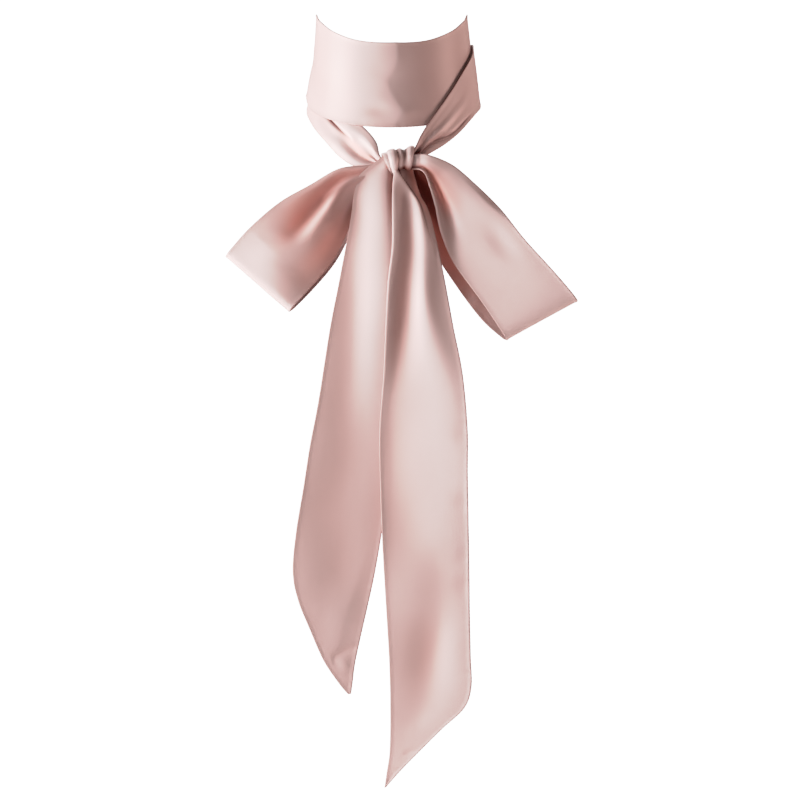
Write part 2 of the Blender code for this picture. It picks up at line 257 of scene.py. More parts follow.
# %% [markdown]
# ## Puckers, pleats and drift
#
# The sewn edge is a little tighter than the cloth beside it, so it puckers, in groups and never
# evenly: a few waves of different lengths added together look like that, and give the same result
# each time. Where the strip is squeezed into the knot it falls into pleats, and all hanging silk
# drifts a little. A noise texture would do as well, but waves keep the lengths in millimetres.

# %% Waves and puckers
WAVE_START = 1.7
SEED_START = 2.4
PUCKER_LENGTHS = (5.3, 7.1, 9.7)
PUCKER_HEIGHT = 0.3
PUCKER_REACH = 3.2
GROUP_LENGTHS = (61.0, 97.0)
GROUP_MIDDLE, GROUP_SWING, GROUP_LEAST = 0.35, 0.9, 0.08
GROUP_SEED = 3


def waves(place, lengths, seed):
    """A few sine waves of different lengths, with starts that follow from the seed."""
    total = np.zeros(np.shape(place))
    for i, length in enumerate(lengths):
        total += np.sin(2 * math.pi * place / length + SEED_START * seed + WAVE_START * i)
    return total / len(lengths)


def pucker_heights(run, away, seed):
    """Small waves along the sewn edge, which fade with the distance away from it."""
    ripples = waves(run, PUCKER_LENGTHS, seed)[:, None]
    groups = GROUP_MIDDLE + GROUP_SWING * waves(run, GROUP_LENGTHS, seed + GROUP_SEED)
    groups = np.clip(groups, GROUP_LEAST, 1)[:, None]
    return PUCKER_HEIGHT * ripples * groups * np.exp(-((away / PUCKER_REACH) ** 2))


print(f"puckers up to {PUCKER_HEIGHT} mm high")

# %% Pleats and drift
GATHERED_BELOW = 34.0
GATHER_HEIGHT = 1.3
BROAD_PLEATS, FINE_PLEATS = 2.3, 3.9
FINE_PLEAT_SHARE = 0.5
PLEAT_WANDER = 0.05
PLEAT_WANDER_LENGTHS = (37.0, 53.0)
PLEAT_FADE = 6
DRIFT_HEIGHT = 0.35
DRIFT_ALONG = (83.0, 131.0)
DRIFT_ACROSS = (47.0, 90.0)


def gather_heights(run, width, share, gathers, seed):
    """Pleats near the knot: the narrower the strip is drawn, the deeper they are."""
    tight = np.clip((GATHERED_BELOW - width) / GATHERED_BELOW, 0, 1)
    tight = (tight * np.interp(run / run[-1], *zip(*gathers)))[:, None]
    wander = PLEAT_WANDER * waves(run, PLEAT_WANDER_LENGTHS, seed)[:, None]
    broad = np.sin(2 * math.pi * BROAD_PLEATS * (share + wander) + seed)
    fine = FINE_PLEAT_SHARE * np.sin(2 * math.pi * FINE_PLEATS * share + 2 * seed)
    inside = np.clip(PLEAT_FADE * share * (1 - share), 0, 1)
    return GATHER_HEIGHT * tight * (broad + fine) * inside


def drift_heights(run, away, seed):
    """The slight unevenness that any hanging silk has."""
    slow = waves(run, DRIFT_ALONG, seed)[:, None] * waves(away, DRIFT_ACROSS, seed + 1)
    return DRIFT_HEIGHT * slow


print(f"pleats where the strip is narrower than {GATHERED_BELOW:.0f} mm")

# %% [markdown]
# ## From a table to a strip
#
# One function puts it all together: it places the rows, adds up the heights, and moves each point
# along the surface's own normal. It also draws where light and shade are painted, with the same
# tables as creases and dimples. Light goes through silk and bounces between layers, which makes
# tight places rosier and then darker. In a render the light doesn't pass through this cloth, so a
# painted rosy glow and a painted shade stand in for it, as values from 0 to 1 that the material
# reads. A painted shade along every edge is drawn as well.

# %% Lay a strip
LEAST_WIDTH = 0.5
OPEN_WIDTH = 30
EDGE_SHADE_WIDTH = 0.7
EVEN_GATHERS = ((0.0, 1.0), (1.0, 1.0))
NOT_GATHERED = ((0.0, 0.0), (1.0, 0.0))


def painted_light_at(*lines, spots=()):
    """Where painted light or shade lies: along lines, and in spots."""
    return lines, spots


def normals_of(points):
    """Which way the surface faces at each point."""
    normal = np.cross(np.gradient(points, axis=0), np.gradient(points, axis=1))
    return normal / np.maximum(np.linalg.norm(normal, axis=2, keepdims=True), 1e-9)


def lay_strip(
    place, columns, rows, creases, painted_light, tucks=(), dimples=(), seed=1, gathers=EVEN_GATHERS
):
    """The strip's surface in mm, with its run along, its shares across, and its painted light and
    shade.
    """
    table, run = even_rows(columns, rows, place)
    rims = place(table, np.array([[0.0, 1.0]] * len(run)))
    width = np.maximum(np.linalg.norm(rims[:, 1] - rims[:, 0], axis=1), LEAST_WIDTH)
    share = shares_across(width)
    points = place(table, share)
    height = table["belly"][:, None] * 4 * share * (1 - share)
    height += crease_heights(creases, run / run[-1], share)
    height += tuck_heights(tucks, run / run[-1], share)
    height += dimple_heights(dimples, run, width, share)
    if gathers:
        height += gather_heights(run, width, share, gathers, seed)
        full = np.clip(width / OPEN_WIDTH, 0, 1)[:, None]
        height += full * pucker_heights(run, (1 - share) * width[:, None], seed)
        height += full * drift_heights(run, share * width[:, None], seed)
    points = points + normals_of(points) * height[:, :, None]
    strip = {"points": points, "run": run, "share": share, "width": width, "fold": height}
    # Painted rosy glow and painted shade, laid out like creases and dimples.
    for name, (lines, spots) in painted_light.items():
        drawn = crease_heights(lines, run / run[-1], share)
        drawn = drawn + dimple_heights(spots, run, width, share)
        strip[name] = np.clip(drawn, 0, 1)
    # Painted shade along every edge, darkest at the border.
    across = np.minimum(share, 1 - share) * width[:, None]
    strip["rim"] = np.exp(-((across / EDGE_SHADE_WIDTH) ** 2))
    return strip


print(f"open cloth from {OPEN_WIDTH} mm of width")

# %% [markdown]
# ## From a strip to cloth
#
# A surface of points has no thickness yet. The shell function moves a copy of it outwards and
# another inwards, joined all round the border, where the distance falls to nothing on a quarter
# circle: that is the rolled edge. Blender's Solidify modifier would give the same wall, but with
# a square rim, and satin shows its soft rim as a thin bright or dark line. The UV map holds real
# metres along and across the strip, so that the weave has its true scale.

# %% How thick the cloth is
ROLL_SHARE = 0.3


def half_thickness(strip):
    """Half the wall at each point: nothing on the border, rolled near it, even in the middle."""
    across = np.minimum(strip["share"], 1 - strip["share"]) * strip["width"][:, None]
    ends = np.minimum(strip["run"], strip["run"][-1] - strip["run"])[:, None]
    away = np.minimum(across, ends)
    roll = np.minimum(EDGE_ROLL, strip["width"][:, None] * ROLL_SHARE)
    rounded = np.sqrt(np.clip(1 - (1 - np.clip(away / roll, 0, 1)) ** 2, 0, 1))
    beyond = np.clip(away - roll, 0, None) / EDGE_ROLL_SPREAD
    wall = np.minimum(HALF_WALL, roll)
    return rounded * (wall + (roll - wall) * np.exp(-(beyond**2)))


print(f"rolled edge {2 * EDGE_ROLL:.1f} mm thick")


# %% Close a strip into a shell
def add_object(name, data):
    """A new object in the scene."""
    item = bpy.data.objects.new(name, data)
    bpy.context.scene.collection.objects.link(item)
    return item


def quads(index):
    """The four-sided faces between the points of a grid."""
    corners = [index[:-1, :-1], index[:-1, 1:], index[1:, 1:], index[1:, :-1]]
    return np.stack(corners, axis=2).reshape(-1, 4)


def shell(name, strip):
    """A closed thin mesh on both sides of the strip's surface, with a UV map in metres."""
    points = strip["points"]
    rows, lines = points.shape[:2]
    offset = normals_of(points) * half_thickness(strip)[:, :, None]
    border = np.ones((rows, lines), bool)
    border[1:-1, 1:-1] = False
    outer = np.arange(rows * lines).reshape(rows, lines)
    inner = outer.copy()
    inner[~border] = rows * lines + np.arange((~border).sum())
    corners = np.vstack([(points + offset).reshape(-1, 3), (points - offset)[~border]])
    corners[outer[border]] = points[border]
    faces = np.vstack([quads(outer)[:, ::-1], quads(inner)])
    mesh = bpy.data.meshes.new(name)
    mesh.from_pydata((corners * MM).tolist(), [], faces.tolist())

    run = np.broadcast_to(strip["run"][:, None], (rows, lines))
    flat = np.stack([run, strip["share"] * strip["width"][:, None]], axis=2) * MM
    place = np.concatenate([flat.reshape(-1, 2), flat[~border]])
    uv = mesh.uv_layers.new(name="cloth")
    uv.data.foreach_set("uv", place[faces.reshape(-1)].astype(np.float32).reshape(-1))
    # The fold, the painted glow and the painted shades go on the mesh for the material.
    for word in ("fold", "rosy", "dark", "rim"):
        # What is a ridge on one face is a trough on the other.
        back = -strip[word] if word == "fold" else strip[word]
        values = np.concatenate([strip[word].reshape(-1), back[~border]]).astype(np.float32)
        mesh.attributes.new(word, "FLOAT", "POINT").data.foreach_set("value", values)
    mesh.shade_smooth()
    length, width = strip["run"][-1], strip["width"].max()
    print(f"{name}: {length:.0f} mm long, up to {width:.0f} mm wide, {len(faces)} faces")
    return add_object(name, mesh)


def make_cloth(name, *tables, **more):
    """Lay a strip and close it: the piece, and the strip that it came from."""
    strip = lay_strip(*tables, **more)
    return shell(name, strip), strip


# %% [markdown]
# ## The winding
#
# The strip comes out of the knot at the left, climbs round the left side of the neck, goes round
# the back, across the front as the wide smooth band, round the back again on top of itself, and
# down the right side to the knot. It is one piece here, because the real strip isn't cut
# anywhere. A spiral along a cone is the rule it follows: the radius grows a little with each turn,
# so the second round lies on the first.

# %% Winding: where it goes
WINDING = (
    (-85.5, -64, 3.4, -81, -70, 2.6, 0),
    (-83, -60, 3, -76.5, -68.5, 1.8, 0),
    (-80.8, -50, 2.4, -68, -68, 1.2, 0.6),
    (-73.5, -39.5, -0.4, -57, -59.8, 0.5, 0.8),
    (-61, -28, -1.6, -44.5, -46.8, 0, 0.2),
    (-42, -6, -1.6, -29, -33, 0, -0.4),
    (-20, 24, -1.2, -14, -22, 0, -0.8),
    (0, 46, -0.8, 0, -14, 0, -1.2),
    (45, 44, -0.3, 45, -12, 0, -0.6),
    (90, 44.5, 0, 90, -11, 0, 0),
    (135, 50.5, 0, 135, -8, 0, -0.3),
    (180, 60.3, 0, 180, -4, 0, -0.8),
    (203, 51, 0, 203, -18, 0, -0.6),
    (225, 38.3, 0, 225, -29, 0, -0.2),
    (247, 28.8, 0, 247, -36.5, 0, 0.2),
    (270, 25.8, 0, 270, -39.2, 0, 0.5),
    (293, 28.8, 0, 293, -36.5, 0, 0.2),
    (315, 38.3, 0, 315, -29, 0, -0.4),
    (337, 51, 0, 337, -18, 0, -0.9),
    (360, 60.3, 0, 360, -4, 0, -1.2),
    (405, 51, 0, 405, -10, 0, -0.5),
    (450, 46, 0, 450, -12, 0, 0),
    (495, 42.5, 0, 495, -12, 0, -0.3),
    (540, 37, 0, 540, -11, 0, -0.3),
    (560, 24, 0, 552, -16, 0, -0.2),
    (576, 9.5, 0, 563, -21.5, 0, 0),
    (589.5, -7.5, 0, 574.5, -30, 0, 0.3),
    (600.8, -23.5, 0, 586.5, -41, 0, 0.5),
    (608.6, -36, 0, 598, -51, -0.4, 0.6),
    (613.4, -45.5, -0.2, 606.5, -57.5, -1.2, 0.4),
    (616.7, -54, -0.4, 612, -61.5, -1.8, 0),
    (619.5, -60, -0.8, 617, -64.5, -2.4, 0),
)
print("winding:", len(WINDING), "sections")

# %% Winding: creases, painted light and shade, and the cloth
WINDING_CREASES = (
    soft(
        (0, 0.2, 0.15, 0.15, 1.5), (0.024, 0.2, 0.15, 0.15, 1.5), (0.046, 0.18, 0.15, 0.15, 1),
        (0.07, 0.2, 0.15, 0.15, 0),
    ),
    soft(
        (0.03, 0.42, 0.2, 0.1, 0), (0.044, 0.38, 0.2, 0.05, 1.7), (0.06, 0.39, 0.2, 0.035, 2.3),
        (0.078, 0.44, 0.2, 0.035, 2), (0.094, 0.5, 0.18, 0.06, 0),
    ),
    crisp(
        (0.036, 0.48, 0.06, 0.1, 0), (0.048, 0.455, 0.035, 0.09, -1.2),
        (0.062, 0.46, 0.03, 0.08, -1.6), (0.078, 0.5, 0.03, 0.07, -1.5),
        (0.09, 0.54, 0.04, 0.06, 0),
    ),
    soft(
        (0, 0.5, 0.2, 0.2, -1.2), (0.013, 0.53, 0.16, 0.16, -1.6), (0.022, 0.6, 0.15, 0.14, -1.8),
        (0.033, 0.58, 0.14, 0.14, -1.4), (0.046, 0.53, 0.12, 0.12, -1), (0.06, 0.5, 0.1, 0.1, 0),
    ),
    soft(
        (0, 0.85, 0.12, 0.12, 1.2), (0.03, 0.86, 0.12, 0.12, 1), (0.07, 0.88, 0.12, 0.12, 0.5),
        (0.1, 0.9, 0.12, 0.12, 0),
    ),
    soft((0.11, 0.35, 0.1, 0.1, 0), (0.15, 0.38, 0.1, 0.12, -0.7), (0.22, 0.45, 0.1, 0.12, 0)),
    soft(
        (0.56, 0.62, 0.1, 0.12, 0), (0.64, 0.55, 0.1, 0.14, -0.9), (0.73, 0.6, 0.1, 0.12, -0.7),
        (0.8, 0.66, 0.1, 0.12, 0),
    ),
    soft((0.66, 0.25, 0.1, 0.1, 0), (0.74, 0.3, 0.1, 0.1, 0.6), (0.82, 0.3, 0.1, 0.1, 0)),
    crisp(
        (0.915, 0.9, 0.05, 0.06, 0), (0.936, 0.875, 0.05, 0.07, -0.9),
        (0.954, 0.86, 0.06, 0.08, -1.4), (0.967, 0.68, 0.07, 0.07, -1.5),
        (0.978, 0.53, 0.08, 0.08, -1.4), (0.991, 0.39, 0.1, 0.1, -1), (1, 0.35, 0.1, 0.1, 0),
    ),
    crisp(
        (0.95, 0.95, 0.05, 0.05, 0), (0.962, 0.86, 0.05, 0.06, -1),
        (0.976, 0.7, 0.07, 0.07, -1.2), (0.986, 0.6, 0.08, 0.08, -1), (1, 0.55, 0.1, 0.1, 0),
    ),
)
WINDING_TUCKS = (
    crisp(
        (0, 0.497, 0.017, 0.034, 2.4), (0.19, 0.495, 0.017, 0.034, 2.4),
        (0.34, 0.499, 0.018, 0.03, 1.9), (0.45, 0.505, 0.018, 0.028, 1.5),
        (0.57, 0.502, 0.018, 0.028, 1.5), (0.72, 0.496, 0.017, 0.03, 1.8),
        (0.83, 0.492, 0.016, 0.028, 1.7), (1, 0.499, 0.018, 0.026, 0.8),
    ),
)
WINDING_DIMPLES = (
    (0.512, 0.8, 9, 5, 0, -0.9), (0.49, 0.86, 8, 5, 20, 0.8), (0.512, 0.3, 10, 8, 30, -0.25),
)
WINDING_PAINTED_LIGHT = {
    "rosy": painted_light_at(
        soft(
            (0.01, 0.56, 0.14, 0.12, 0.5), (0.03, 0.52, 0.1, 0.1, 0.5),
            (0.06, 0.5, 0.08, 0.08, 0),
        ),
    ),
    "dark": painted_light_at(
        soft(
            (0.036, 0.46, 0.02, 0.02, 0), (0.05, 0.465, 0.03, 0.05, 0.6),
            (0.062, 0.47, 0.05, 0.08, 0.9), (0.074, 0.47, 0.06, 0.09, 1),
            (0.08, 0.45, 0.08, 0.1, 1), (0.084, 0.44, 0.05, 0.05, 0),
        ),
        soft((0, 0, 0.03, 0.04, 0.7), (0.08, 0, 0.03, 0.03, 0.7), (0.11, 0, 0.03, 0.03, 0)),
        soft(
            (0.87, 0, 0.02, 0.02, 0), (0.89, 0, 0.02, 0.02, 0.9), (0.975, 0, 0.03, 0.03, 0.9),
            (1, 0, 0.06, 0.06, 0),
        ),
        soft(
            (0.915, 0.9, 0.02, 0.02, 0), (0.936, 0.88, 0.03, 0.03, 0.8),
            (0.96, 0.84, 0.03, 0.03, 0.7), (0.978, 0.6, 0.05, 0.05, 0.5),
            (1, 0.45, 0.1, 0.1, 0.3),
        ),
        spots=((0.994, 0.6, 5, 4, 0, 0.8),),
    ),
}

winding, winding_strip = make_cloth(
    "winding_satin", on_the_neck, WINDING_COLUMNS, WINDING, WINDING_CREASES, WINDING_PAINTED_LIGHT,
    WINDING_TUCKS, WINDING_DIMPLES, seed=1,
)

# %% [markdown]
# ## The left loop of the bow
#
# Each loop leaves the knot, runs out to a flattened end fold and comes back behind itself. Its
# front is pulled into creases near the knot and is flat and smooth near the end. A table row for
# each section gives the upper and the lower edge, so the loop can widen, turn and close.

# %% Left loop: where it goes
LOOP_LEFT = (
    (-4, -71, -66, -5, -71, -74, 0),
    (-11.5, -70.4, -66.5, -12.5, -70.6, -78, 0.5),
    (-20, -70.4, -68, -20, -70, -90, 1.5),
    (-40, -70, -70.5, -29.5, -69, -108, 4),
    (-62, -70, -83, -36.5, -69, -124, 5),
    (-84, -69, -95.5, -46, -68, -141, 4.5),
    (-106, -68, -114, -60.5, -67, -158.5, 2.5),
    (-121, -66.2, -130, -73, -66, -172.5, 0.6),
    (-124.5, -64, -134.5, -76.5, -64, -176.3, 0),
    (-121.5, -61.8, -131.5, -72.5, -62, -173.2, 0.6),
    (-104, -58, -117, -58, -58, -158, 2.5),
    (-80, -56, -98, -43, -56, -139.5, 3),
    (-56, -57, -84, -32, -57, -119, 2.5),
    (-34, -61, -75, -23, -61, -98, 1),
    (-13, -66, -68, -13.5, -66, -78, 0),
    (-4, -69, -66, -5, -69, -74, 0),
)
print("left loop:", len(LOOP_LEFT), "sections")

# %% Left loop: creases, painted light and shade, and the cloth
LOOP_LEFT_CREASES = (
    soft(
        (0, 0.3, 0.1, 0.1, -0.9), (0.071, 0.185, 0.05, 0.1, -1.7), (0.113, 0.19, 0.07, 0.1, -2.2),
        (0.149, 0.21, 0.09, 0.11, -3.3), (0.179, 0.26, 0.12, 0.12, -4.4),
        (0.205, 0.31, 0.16, 0.12, -5.6), (0.235, 0.36, 0.2, 0.12, -5.4),
        (0.275, 0.4, 0.24, 0.13, -4.8), (0.32, 0.4, 0.26, 0.15, -3.6),
        (0.36, 0.36, 0.26, 0.18, -1.6), (0.4, 0.24, 0.2, 0.18, 0),
    ),
    soft(
        (0.03, 0.42, 0.08, 0.1, 0), (0.101, 0.34, 0.05, 0.14, 2), (0.149, 0.36, 0.05, 0.2, 2.4),
        (0.185, 0.42, 0.06, 0.22, 2.9), (0.215, 0.49, 0.07, 0.22, 3.3),
        (0.257, 0.53, 0.08, 0.16, 3.8), (0.311, 0.55, 0.11, 0.16, 2.8),
        (0.365, 0.47, 0.16, 0.17, 2.1), (0.43, 0.36, 0.18, 0.18, 0.7), (0.47, 0.3, 0.18, 0.18, 0),
    ),
    soft(
        (0.06, 0.7, 0.16, 0.2, 0), (0.119, 0.86, 0.18, 0.25, -2.2), (0.16, 0.96, 0.22, 0.3, -3.4),
        (0.215, 1, 0.25, 0.3, -5.2), (0.3, 1, 0.34, 0.3, -7), (0.38, 1, 0.42, 0.3, -6.5),
        (0.44, 1, 0.36, 0.3, -2.6), (0.48, 1, 0.3, 0.3, 0),
    ),
    soft(
        (0.02, 0.05, 0.1, 0.1, 0.7), (0.083, 0.05, 0.08, 0.08, 1.7),
        (0.137, 0.06, 0.06, 0.06, 2.1), (0.191, 0.07, 0.07, 0.06, 1.8),
        (0.245, 0.06, 0.08, 0.08, 1.1), (0.3, 0.06, 0.08, 0.08, 0),
    ),
    soft(
        (0.62, 0.3, 0.12, 0.12, 0), (0.75, 0.35, 0.12, 0.12, -2.8), (0.88, 0.42, 0.1, 0.1, -3.4),
        (1, 0.45, 0.1, 0.1, -1.1),
    ),
    soft(
        (0.66, 0.65, 0.1, 0.1, 0), (0.8, 0.6, 0.1, 0.1, 2.2), (0.9, 0.6, 0.1, 0.1, 2.3),
        (1, 0.6, 0.1, 0.1, 0.9),
    ),
)
LOOP_LEFT_TUCKS = (
    soft((0, 0.34, 0.13, 0.13, 4.6), (0.5, 0.35, 0.13, 0.13, 5.4), (1, 0.36, 0.13, 0.12, 4)),
)
LOOP_LEFT_DIMPLES = ((0.78, 0.85, 6, 6, 0, -0.8), (0.84, 0.8, 5, 6, 20, 0.8))
LOOP_LEFT_PAINTED_LIGHT = {
    "rosy": painted_light_at(
        spots=(
            (0.215, 0.2, 34, 9, -8, 0.42), (0.13, 0.14, 22, 4, 0, 0.3),
            (0.3, 0.34, 18, 8, 10, 0.6), (0.26, 0.8, 36, 10, 0, 0.6),
            (0.24, 0.45, 26, 10, 0, 0.2),
        ),
    ),
    "dark": painted_light_at(
        soft(
            (0.03, 0.3, 0.06, 0.06, 0.4), (0.09, 0.31, 0.05, 0.06, 0.35),
            (0.15, 0.35, 0.06, 0.07, 0.42), (0.205, 0.33, 0.07, 0.08, 0.32),
            (0.29, 0.38, 0.1, 0.1, 0),
        ),
        soft(
            (0.02, 0.8, 0.2, 0.2, 0.9), (0.08, 0.82, 0.18, 0.2, 0.75),
            (0.15, 0.86, 0.18, 0.2, 0.65), (0.23, 0.92, 0.14, 0.14, 0.3),
            (0.32, 0.97, 0.08, 0.08, 0.2), (0.42, 1, 0.05, 0.05, 0),
        ),
        spots=((0.29, 0.39, 12, 4, 10, 0.25),),
    ),
}

loop_left, loop_left_strip = make_cloth(
    "left_loop_satin", hanging, EDGE_COLUMNS, LOOP_LEFT, LOOP_LEFT_CREASES, LOOP_LEFT_PAINTED_LIGHT,
    LOOP_LEFT_TUCKS, LOOP_LEFT_DIMPLES, seed=2,
)

# %% [markdown]
# ## The right loop
#
# This loop is made the same way, the other way round: its table starts with the back layer and
# ends with the front one. The front layer bows well forward, so that the light reaches it past
# the tails. The pleats fade out on it, because all its creases are in the table.

# %% Right loop: where it goes
LOOP_RIGHT = (
    (10, -69, -63, 9, -69, -71, 0),
    (18, -67, -64, 16, -67.5, -75.6, 0),
    (25, -64.5, -66.5, 12.8, -66, -85, 0.4),
    (38, -61, -74, 19.5, -61.5, -104, 1),
    (58, -57, -90, 31, -57.5, -130, 2.5),
    (84, -58, -114, 49, -56.5, -158, 3),
    (112, -68, -145, 67, -63.5, -182.5, 2.5),
    (132.5, -86, -167, 80.5, -75.5, -196, 0.6),
    (136.5, -94, -170.3, 84, -82, -198, 0),
    (133, -98.4, -165.5, 82, -87, -193.5, 0.3),
    (118, -95.5, -147.5, 67, -84.5, -171, 0.6),
    (98.5, -91, -125.5, 46.5, -81.5, -142.5, 1),
    (81.5, -86, -103.5, 36.8, -79, -120, 1.5),
    (63.5, -80.6, -84.5, 32.2, -77.4, -99, 1.8),
    (45.5, -79.8, -69, 27.6, -78.4, -84, 1),
    (28, -83.2, -62, 23, -81.8, -74, 0.6),
    (18, -78, -61, 15.6, -77, -72, 0.2),
    (10, -71.5, -62, 9, -71.5, -71.5, 0),
)
RIGHT_LOOP_GATHERS = ((0.0, 1.0), (0.5, 1.0), (0.85, 0.15), (1.0, 0.0))
print("right loop:", len(LOOP_RIGHT), "sections")

# %% Right loop: creases, painted light and shade, and the cloth
LOOP_RIGHT_CREASES = (
    soft(
        (0.62, 0.9, 0.12, 0.08, 0), (0.696, 0.88, 0.12, 0.06, -0.2),
        (0.74, 0.84, 0.12, 0.07, -0.9), (0.785, 0.81, 0.12, 0.08, -2.6),
        (0.829, 0.83, 0.13, 0.07, -4), (0.873, 0.85, 0.14, 0.07, -4.1),
        (0.917, 0.84, 0.15, 0.08, -2.8), (0.951, 0.8, 0.16, 0.1, -1.4), (1, 0.7, 0.16, 0.12, 0),
    ),
    soft(
        (0.64, 0.99, 0.06, 0.05, 0), (0.72, 0.97, 0.05, 0.05, 0.6), (0.8, 0.96, 0.05, 0.05, 1.8),
        (0.9, 0.97, 0.05, 0.05, 2.1), (0.96, 0.97, 0.05, 0.05, 0.7), (1, 0.97, 0.05, 0.05, 0),
    ),
    soft(
        (0.52, 0.1, 0.2, 0.5, 0), (0.58, 0, 0.2, 0.6, 2), (0.66, 0, 0.2, 0.6, 3.5),
        (0.74, 0.04, 0.14, 0.52, 4.6), (0.8, 0.12, 0.12, 0.42, 4), (0.86, 0.14, 0.18, 0.4, 1.8),
        (0.93, 0.12, 0.2, 0.46, 1.8), (1, 0.1, 0.2, 0.46, 1.4),
    ),
    soft(
        (0, 0.45, 0.12, 0.12, -1.1), (0.1, 0.42, 0.12, 0.12, -2.8), (0.2, 0.4, 0.12, 0.12, -2.2),
        (0.33, 0.38, 0.12, 0.12, 0),
    ),
    soft(
        (0, 0.7, 0.1, 0.1, 0.9), (0.15, 0.68, 0.1, 0.1, 2.2), (0.3, 0.66, 0.1, 0.1, 0.9),
        (0.36, 0.66, 0.1, 0.1, 0),
    ),
)
LOOP_RIGHT_TUCKS = (
    soft((0, 0.53, 0.03, 0.16, 1.5), (0.5, 0.53, 0.03, 0.17, 2.5), (1, 0.53, 0.03, 0.18, 3.5)),
)
LOOP_RIGHT_DIMPLES = (
    (0.706, 0.29, 15, 8, 0, -1.3), (0.338, 0.93, 5, 6, 0, -1), (0.27, 0.95, 4, 5, 20, -0.7),
)
LOOP_RIGHT_PAINTED_LIGHT = {
    "rosy": painted_light_at(
        soft(
            (0.78, 0.66, 0.12, 0.14, 0), (0.84, 0.62, 0.2, 0.16, 0.3),
            (0.9, 0.56, 0.24, 0.16, 0.3), (0.97, 0.6, 0.1, 0.12, 0),
        ),
        soft(
            (0.8, 0.79, 0.08, 0.07, 0), (0.86, 0.78, 0.1, 0.08, 0.6),
            (0.92, 0.76, 0.14, 0.1, 0.6), (0.955, 0.78, 0.12, 0.12, 0.6),
            (1, 0.8, 0.12, 0.12, 0.6),
        ),
        soft((0.02, 0.5, 0.6, 0.6, 1), (0.2, 0.6, 0.6, 0.6, 0.8), (0.33, 0.7, 0.4, 0.4, 0)),
    ),
    "dark": painted_light_at(
        soft(
            (0.87, 0.78, 0.06, 0.04, 0), (0.917, 0.77, 0.08, 0.05, 0.45),
            (0.945, 0.78, 0.1, 0.06, 0.8), (0.965, 0.86, 0.12, 0.12, 0.9),
            (1, 0.9, 0.12, 0.12, 1),
        ),
        soft(
            (0.02, 0.5, 0.5, 0.5, 1), (0.06, 0.5, 0.5, 0.5, 1), (0.11, 0.5, 0.45, 0.45, 0.95),
            (0.16, 0.55, 0.4, 0.4, 0.6), (0.23, 0.6, 0.4, 0.4, 0),
        ),
    ),
}

loop_right, loop_right_strip = make_cloth(
    "right_loop_satin", hanging, EDGE_COLUMNS, LOOP_RIGHT, LOOP_RIGHT_CREASES, LOOP_RIGHT_PAINTED_LIGHT,
    LOOP_RIGHT_TUCKS, LOOP_RIGHT_DIMPLES, seed=3, gathers=RIGHT_LOOP_GATHERS,
)

# %% [markdown]
# ## The left tail
#
# Both tails hang straight down from the knot. They open from a narrow gathered top to the full
# width, and end in a slanted hem. The slant is simply the last rows of the table, where one edge
# runs over to meet the other. Their creases are all in the tables, so they take no pleats.

# %% Left tail: where it goes
TAIL_LEFT = (
    (-6, -74.5, -61, -1, -74, -66, 0),
    (-11.8, -74.2, -65.2, 1, -74, -69.6, 0.4),
    (-17.5, -73.6, -69.4, 3.6, -74.4, -73, 0.8),
    (-23.6, -73.4, -74.6, 4.6, -75, -78, 1.2),
    (-27.2, -73.8, -82.5, 4.6, -76, -86, 1.4),
    (-29, -74.2, -92, 4.4, -77.4, -96, 1.4),
    (-31.4, -74.3, -110, 4.2, -79.4, -114, 1.2),
    (-39, -74.6, -151, 5, -80.2, -151, 0.9),
    (-46.5, -75, -190, 5.5, -79, -190, 0.6),
    (-55, -75.2, -244, 4.5, -76.6, -244, 0.5),
    (-61.5, -75, -278, 1, -75.2, -278, 0.4),
    (-66.5, -74.6, -310, -3, -74.2, -310, 0.4),
    (-72, -74, -343.5, -8, -73.8, -345, 0.4),
    (-74.3, -73.8, -372, -13, -73.8, -374, 0.4),
    (-70.5, -73.8, -393, -18.2, -74.6, -398, 0.4),
    (-61.5, -73.8, -415.5, -23, -75, -419, 0.3),
    (-51, -74, -439, -27.5, -75.4, -440, 0.2),
    (-39, -74.6, -456.5, -29.5, -75.2, -455.5, 0),
    (-32.8, -75, -463.6, -30.6, -75.2, -463.3, 0),
)
print("left tail:", len(TAIL_LEFT), "sections")

# %% Left tail: creases, painted light and shade, and the cloth
TAIL_LEFT_CREASES = (
    soft(
        (0, 0.3, 0.15, 0.2, 0), (0.06, 0.12, 0.16, 0.24, -1.4), (0.116, 0.15, 0.2, 0.26, -2.2),
        (0.179, 0.19, 0.25, 0.26, -2.3), (0.268, 0.28, 0.28, 0.24, -2.2),
        (0.362, 0.34, 0.28, 0.22, -2.2), (0.451, 0.36, 0.28, 0.24, -2),
        (0.525, 0.42, 0.3, 0.28, -1.8), (0.62, 0.46, 0.34, 0.3, -1.6),
        (0.76, 0.55, 0.34, 0.3, -1.2), (0.86, 0.6, 0.34, 0.3, 0),
    ),
    soft(
        (0, 0.55, 0.2, 0.2, 0.4), (0.023, 0.66, 0.28, 0.16, 1.6), (0.046, 0.7, 0.34, 0.16, 2.4),
        (0.074, 0.74, 0.36, 0.16, 2.8), (0.116, 0.78, 0.38, 0.18, 3), (0.18, 0.8, 0.38, 0.2, 2.9),
        (0.27, 0.8, 0.38, 0.2, 2.7), (0.362, 0.82, 0.38, 0.2, 2.4), (0.44, 0.86, 0.38, 0.2, 1.6),
        (0.52, 0.9, 0.38, 0.18, 0.8), (0.6, 0.92, 0.36, 0.14, 0.4), (0.68, 0.92, 0.36, 0.1, 0),
    ),
    soft(
        (0.65, 0.88, 0.26, 0.08, 0), (0.701, 0.84, 0.26, 0.09, 0.2),
        (0.771, 0.79, 0.28, 0.11, 0.4), (0.81, 0.73, 0.28, 0.13, 0.7),
        (0.86, 0.62, 0.28, 0.16, 0.7), (0.899, 0.5, 0.26, 0.18, 0.5), (0.93, 0.42, 0.24, 0.18, 0),
    ),
)
